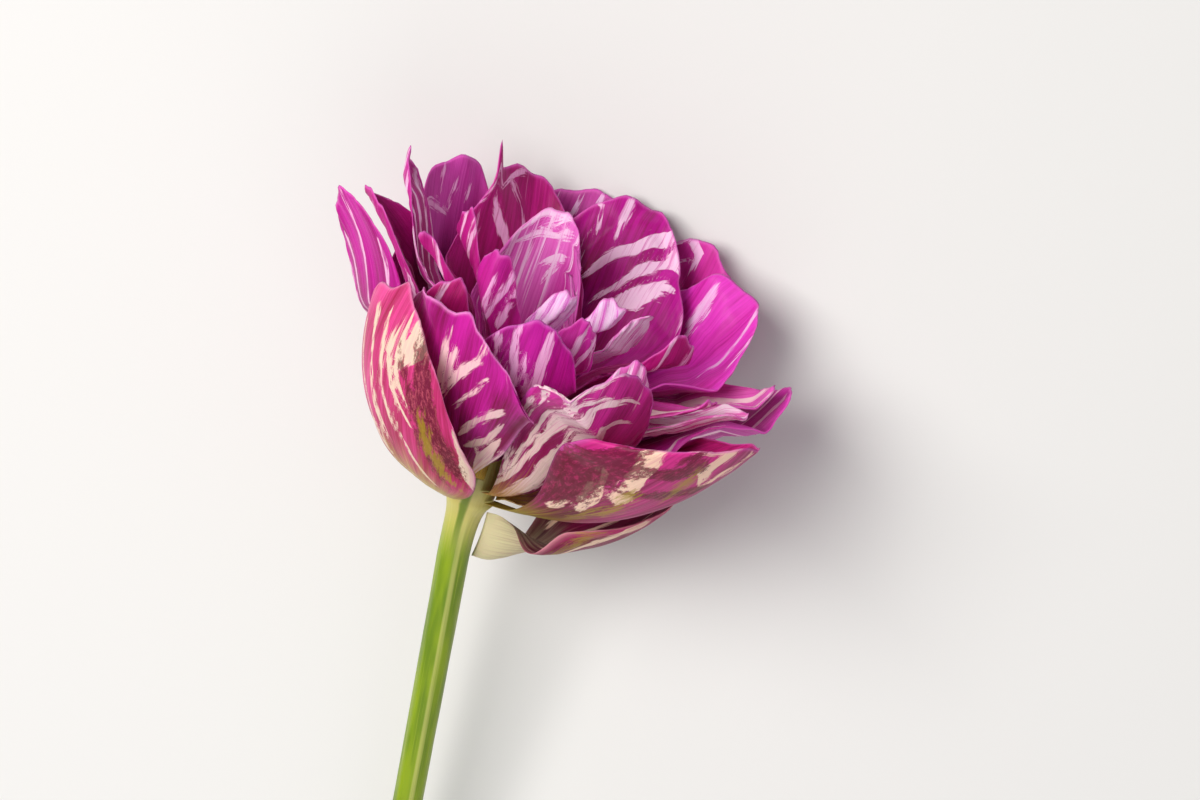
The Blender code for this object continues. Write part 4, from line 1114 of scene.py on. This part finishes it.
def stem_tube():
    """A plain tube with both ends closed, with where each point lies round it and down it."""
    rows = stem_rows()
    tangents = np.gradient(np.array([centre for centre, radius, s in rows]), axis=0)
    tangents /= np.linalg.norm(tangents, axis=1, keepdims=True)
    bm = bmesh.new()
    turns = 2 * np.pi * np.arange(STEM_AROUND) / STEM_AROUND
    sides, fronts = np.cos(turns), np.sin(turns)
    rings, down = [], []
    for (centre, radius, s), tangent in zip(rows, tangents):
        x = np.cross([0.0, 1.0, 0.0], tangent)
        x /= np.linalg.norm(x)
        y = np.cross(tangent, x)
        ring = place(np.array(centre) + radius * (sides[:, None] * x + fronts[:, None] * y))
        rings.append([bm.verts.new(co) for co in ring])
        down += [s / STEM_LENGTH] * STEM_AROUND
    for upper, lower in zip(rings[:-1], rings[1:]):
        for k in range(STEM_AROUND):
            n = (k + 1) % STEM_AROUND
            bm.faces.new((upper[k], lower[k], lower[n], upper[n]))
    for ring in (rings[0], rings[-1]):
        bm.faces.new(ring)
    bmesh.ops.recalc_face_normals(bm, faces=bm.faces[:])
    mesh = bpy.data.meshes.new("stem_tube")
    bm.to_mesh(mesh)
    bm.free()
    fields = {"side": np.tile(sides, len(rows)), "front": np.tile(fronts, len(rows)), "down": down}
    for label, values in fields.items():
        store = mesh.attributes.new(label, "FLOAT", "POINT")
        store.data.foreach_set("value", np.array(values, np.float32))
    return mesh


STEM_SIZES = {"Rib Count": STEM_RIBS, "Rib Height": STEM_RIB_HEIGHT * MM,
              "Unevenness": STEM_UNEVENNESS * MM}


def rib_tree():
    """Raises shallow ribs along a tube."""
    inputs = {"Tube": GEOMETRY, **STEM_SIZES, "Skin": MATERIAL}
    t, given = new_group("stem_ribs", "GeometryNodeTree", inputs, "Stem", GEOMETRY)
    side, front, down = (geometry_attribute(t, label) for label in ("side", "front", "down"))
    turn = t.math("MULTIPLY", t.math("ARCTAN2", front, side), given["Rib Count"])
    height = t.math("MULTIPLY", t.math("COSINE", turn), given["Rib Height"])
    uneven = t.noise(side, front, t.math("MULTIPLY", down, 12.0))
    height = t.math("MULTIPLY_ADD", uneven, t.math("MULTIPLY", given["Unevenness"], 0.5), height)
    height = t.math("MULTIPLY", height, t.ramp(down, 0.02, 0.08))
    return finish_tree(t, moved_along_normal(t, given["Tube"], height), given["Skin"])


def make_stem():
    return run_tree("stem_ribbed", stem_tube(), rib_tree(), {**STEM_SIZES, "Skin": stem_material()})


def pistil_material():
    made, t, shader = living_skin("pistil_skin", (0.6, 1.0, 0.2), 1.0)
    spot = t.add("ShaderNodeSeparateXYZ")
    t.link(t.add("ShaderNodeTexCoord").outputs["Object"], spot.inputs[0])
    x, y, z = (t.math("MULTIPLY", spot.outputs[k], PISTIL_GRAINS) for k in range(3))
    grain = t.noise(x, y, z, 3.0)
    colour = t.mix(t.ramp(grain, -0.6, 0.6), *PISTIL_TONES)
    t.link(colour, shader.inputs["Base Color"])
    t.link(t.ramp(grain, -0.6, 0.6, 0.42, 0.55), shader.inputs["Roughness"])
    return made


# Studio
VIEW_LEAN, VIEW_ROLL = 22.0, 20.0       # camera above the bloom's rim, and the bloom's tilt in the picture
VIEW_DISTANCE = 0.76
SENSOR = 36.0                           # millimetres
PIXEL = 0.185                           # millimetres of the flower for one pixel of the 1200 x 800 picture
BLOOM_PIXEL = (470.0, 494.0)            # where the bloom meets its stem in that picture
PICTURE = (1200.0, 800.0)
STUDIO_LIGHTS = (                       # name, offset from the bloom, size, power, colour
    ("key", (0.15, 0.55, 1.0), 0.8, 14.0, (1.0, 0.98, 0.96)),
    ("fill", (-0.8, -0.6, 0.8), 1.2, 4.0, (0.96, 0.98, 1.0)))
BLOOM_MIDDLE = (0.0, 0.0, 30.0)         # in the bloom's frame, where the lights aim
SKY_TONE, SKY_STRENGTH = (0.96, 0.97, 1.0, 1.0), 0.28
FLOOR_TONE = (0.80, 0.79, 0.77, 1.0)
FLOOR_HALF = 3.0                        # half the floor's side, in metres


def make_camera():
    """The camera at the photo's angle, aimed so that the bloom falls where the photo has it."""
    lean, roll = math.radians(VIEW_LEAN), math.radians(VIEW_ROLL)
    towards = np.array([0.0, -math.cos(lean), math.sin(lean)])
    level = np.array([0.0, math.sin(lean), math.cos(lean)])
    right = np.array([math.cos(roll), 0, 0]) + math.sin(roll) * level
    up = np.array([-math.sin(roll), 0, 0]) + math.cos(roll) * level
    aim = ((PICTURE[0] / 2 - BLOOM_PIXEL[0]) * PIXEL * right
           - (PICTURE[1] / 2 - BLOOM_PIXEL[1]) * PIXEL * up)
    made = bpy.data.cameras.new("camera")
    made.sensor_width = SENSOR
    made.lens = SENSOR * VIEW_DISTANCE / (PICTURE[0] * PIXEL * MM)
    made.clip_end = 20.0
    camera = bpy.data.objects.new("camera", made)
    bpy.context.scene.collection.objects.link(camera)
    axes = Matrix([lying(right), lying(up), lying(towards)]).transposed().to_4x4()
    spot = Vector(place([aim])[0]) + lying(towards) * VIEW_DISTANCE
    camera.matrix_world = Matrix.Translation(spot) @ axes
    bpy.context.scene.camera = camera


def area_light(name, offset, size, power, colour, target):
    made = bpy.data.lights.new(name, "AREA")
    made.size = size
    made.energy = power
    made.color = colour
    lamp = bpy.data.objects.new(name, made)
    bpy.context.scene.collection.objects.link(lamp)
    lamp.location = Vector(target) + Vector(offset)
    lamp.rotation_euler = (-Vector(offset)).to_track_quat("-Z", "Y").to_euler()


def make_floor():
    mesh = bpy.data.meshes.new("floor")
    bm = bmesh.new()
    bmesh.ops.create_grid(bm, x_segments=1, y_segments=1, size=FLOOR_HALF)
    bm.to_mesh(mesh)
    bm.free()
    floor = bpy.data.objects.new("floor", mesh)
    bpy.context.scene.collection.objects.link(floor)
    paper = bpy.data.materials.new("pale_paper")
    paper.use_nodes = True
    shader = paper.node_tree.nodes["Principled BSDF"]
    shader.inputs["Base Color"].default_value = FLOOR_TONE
    shader.inputs["Roughness"].default_value = 0.9
    mesh.materials.append(paper)


def make_light():
    """Two soft lamps aimed at the bloom, and an even sky."""
    bloom = place([BLOOM_MIDDLE])[0]
    for lamp in STUDIO_LIGHTS:
        area_light(*lamp, bloom)
    world = bpy.data.worlds.new("studio")
    bpy.context.scene.world = world
    world.use_nodes = True
    background = world.node_tree.nodes["Background"]
    background.inputs["Color"].default_value = SKY_TONE
    background.inputs["Strength"].default_value = SKY_STRENGTH
    bpy.context.scene.view_settings.view_transform = "Standard"


make_camera()
make_floor()
make_light()
flesh = flesh_tree()
for number, (name, p) in enumerate(SHAPES.items()):
    petal = make_petal(name, p, flesh, 1.7 * number)
    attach(petal, "root")
    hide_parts(name)
stem = make_stem()
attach(stem, "root")
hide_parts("stem")
for slot in frame["nodes"]["pistil"].material_slots:
    slot.material = pistil_material()
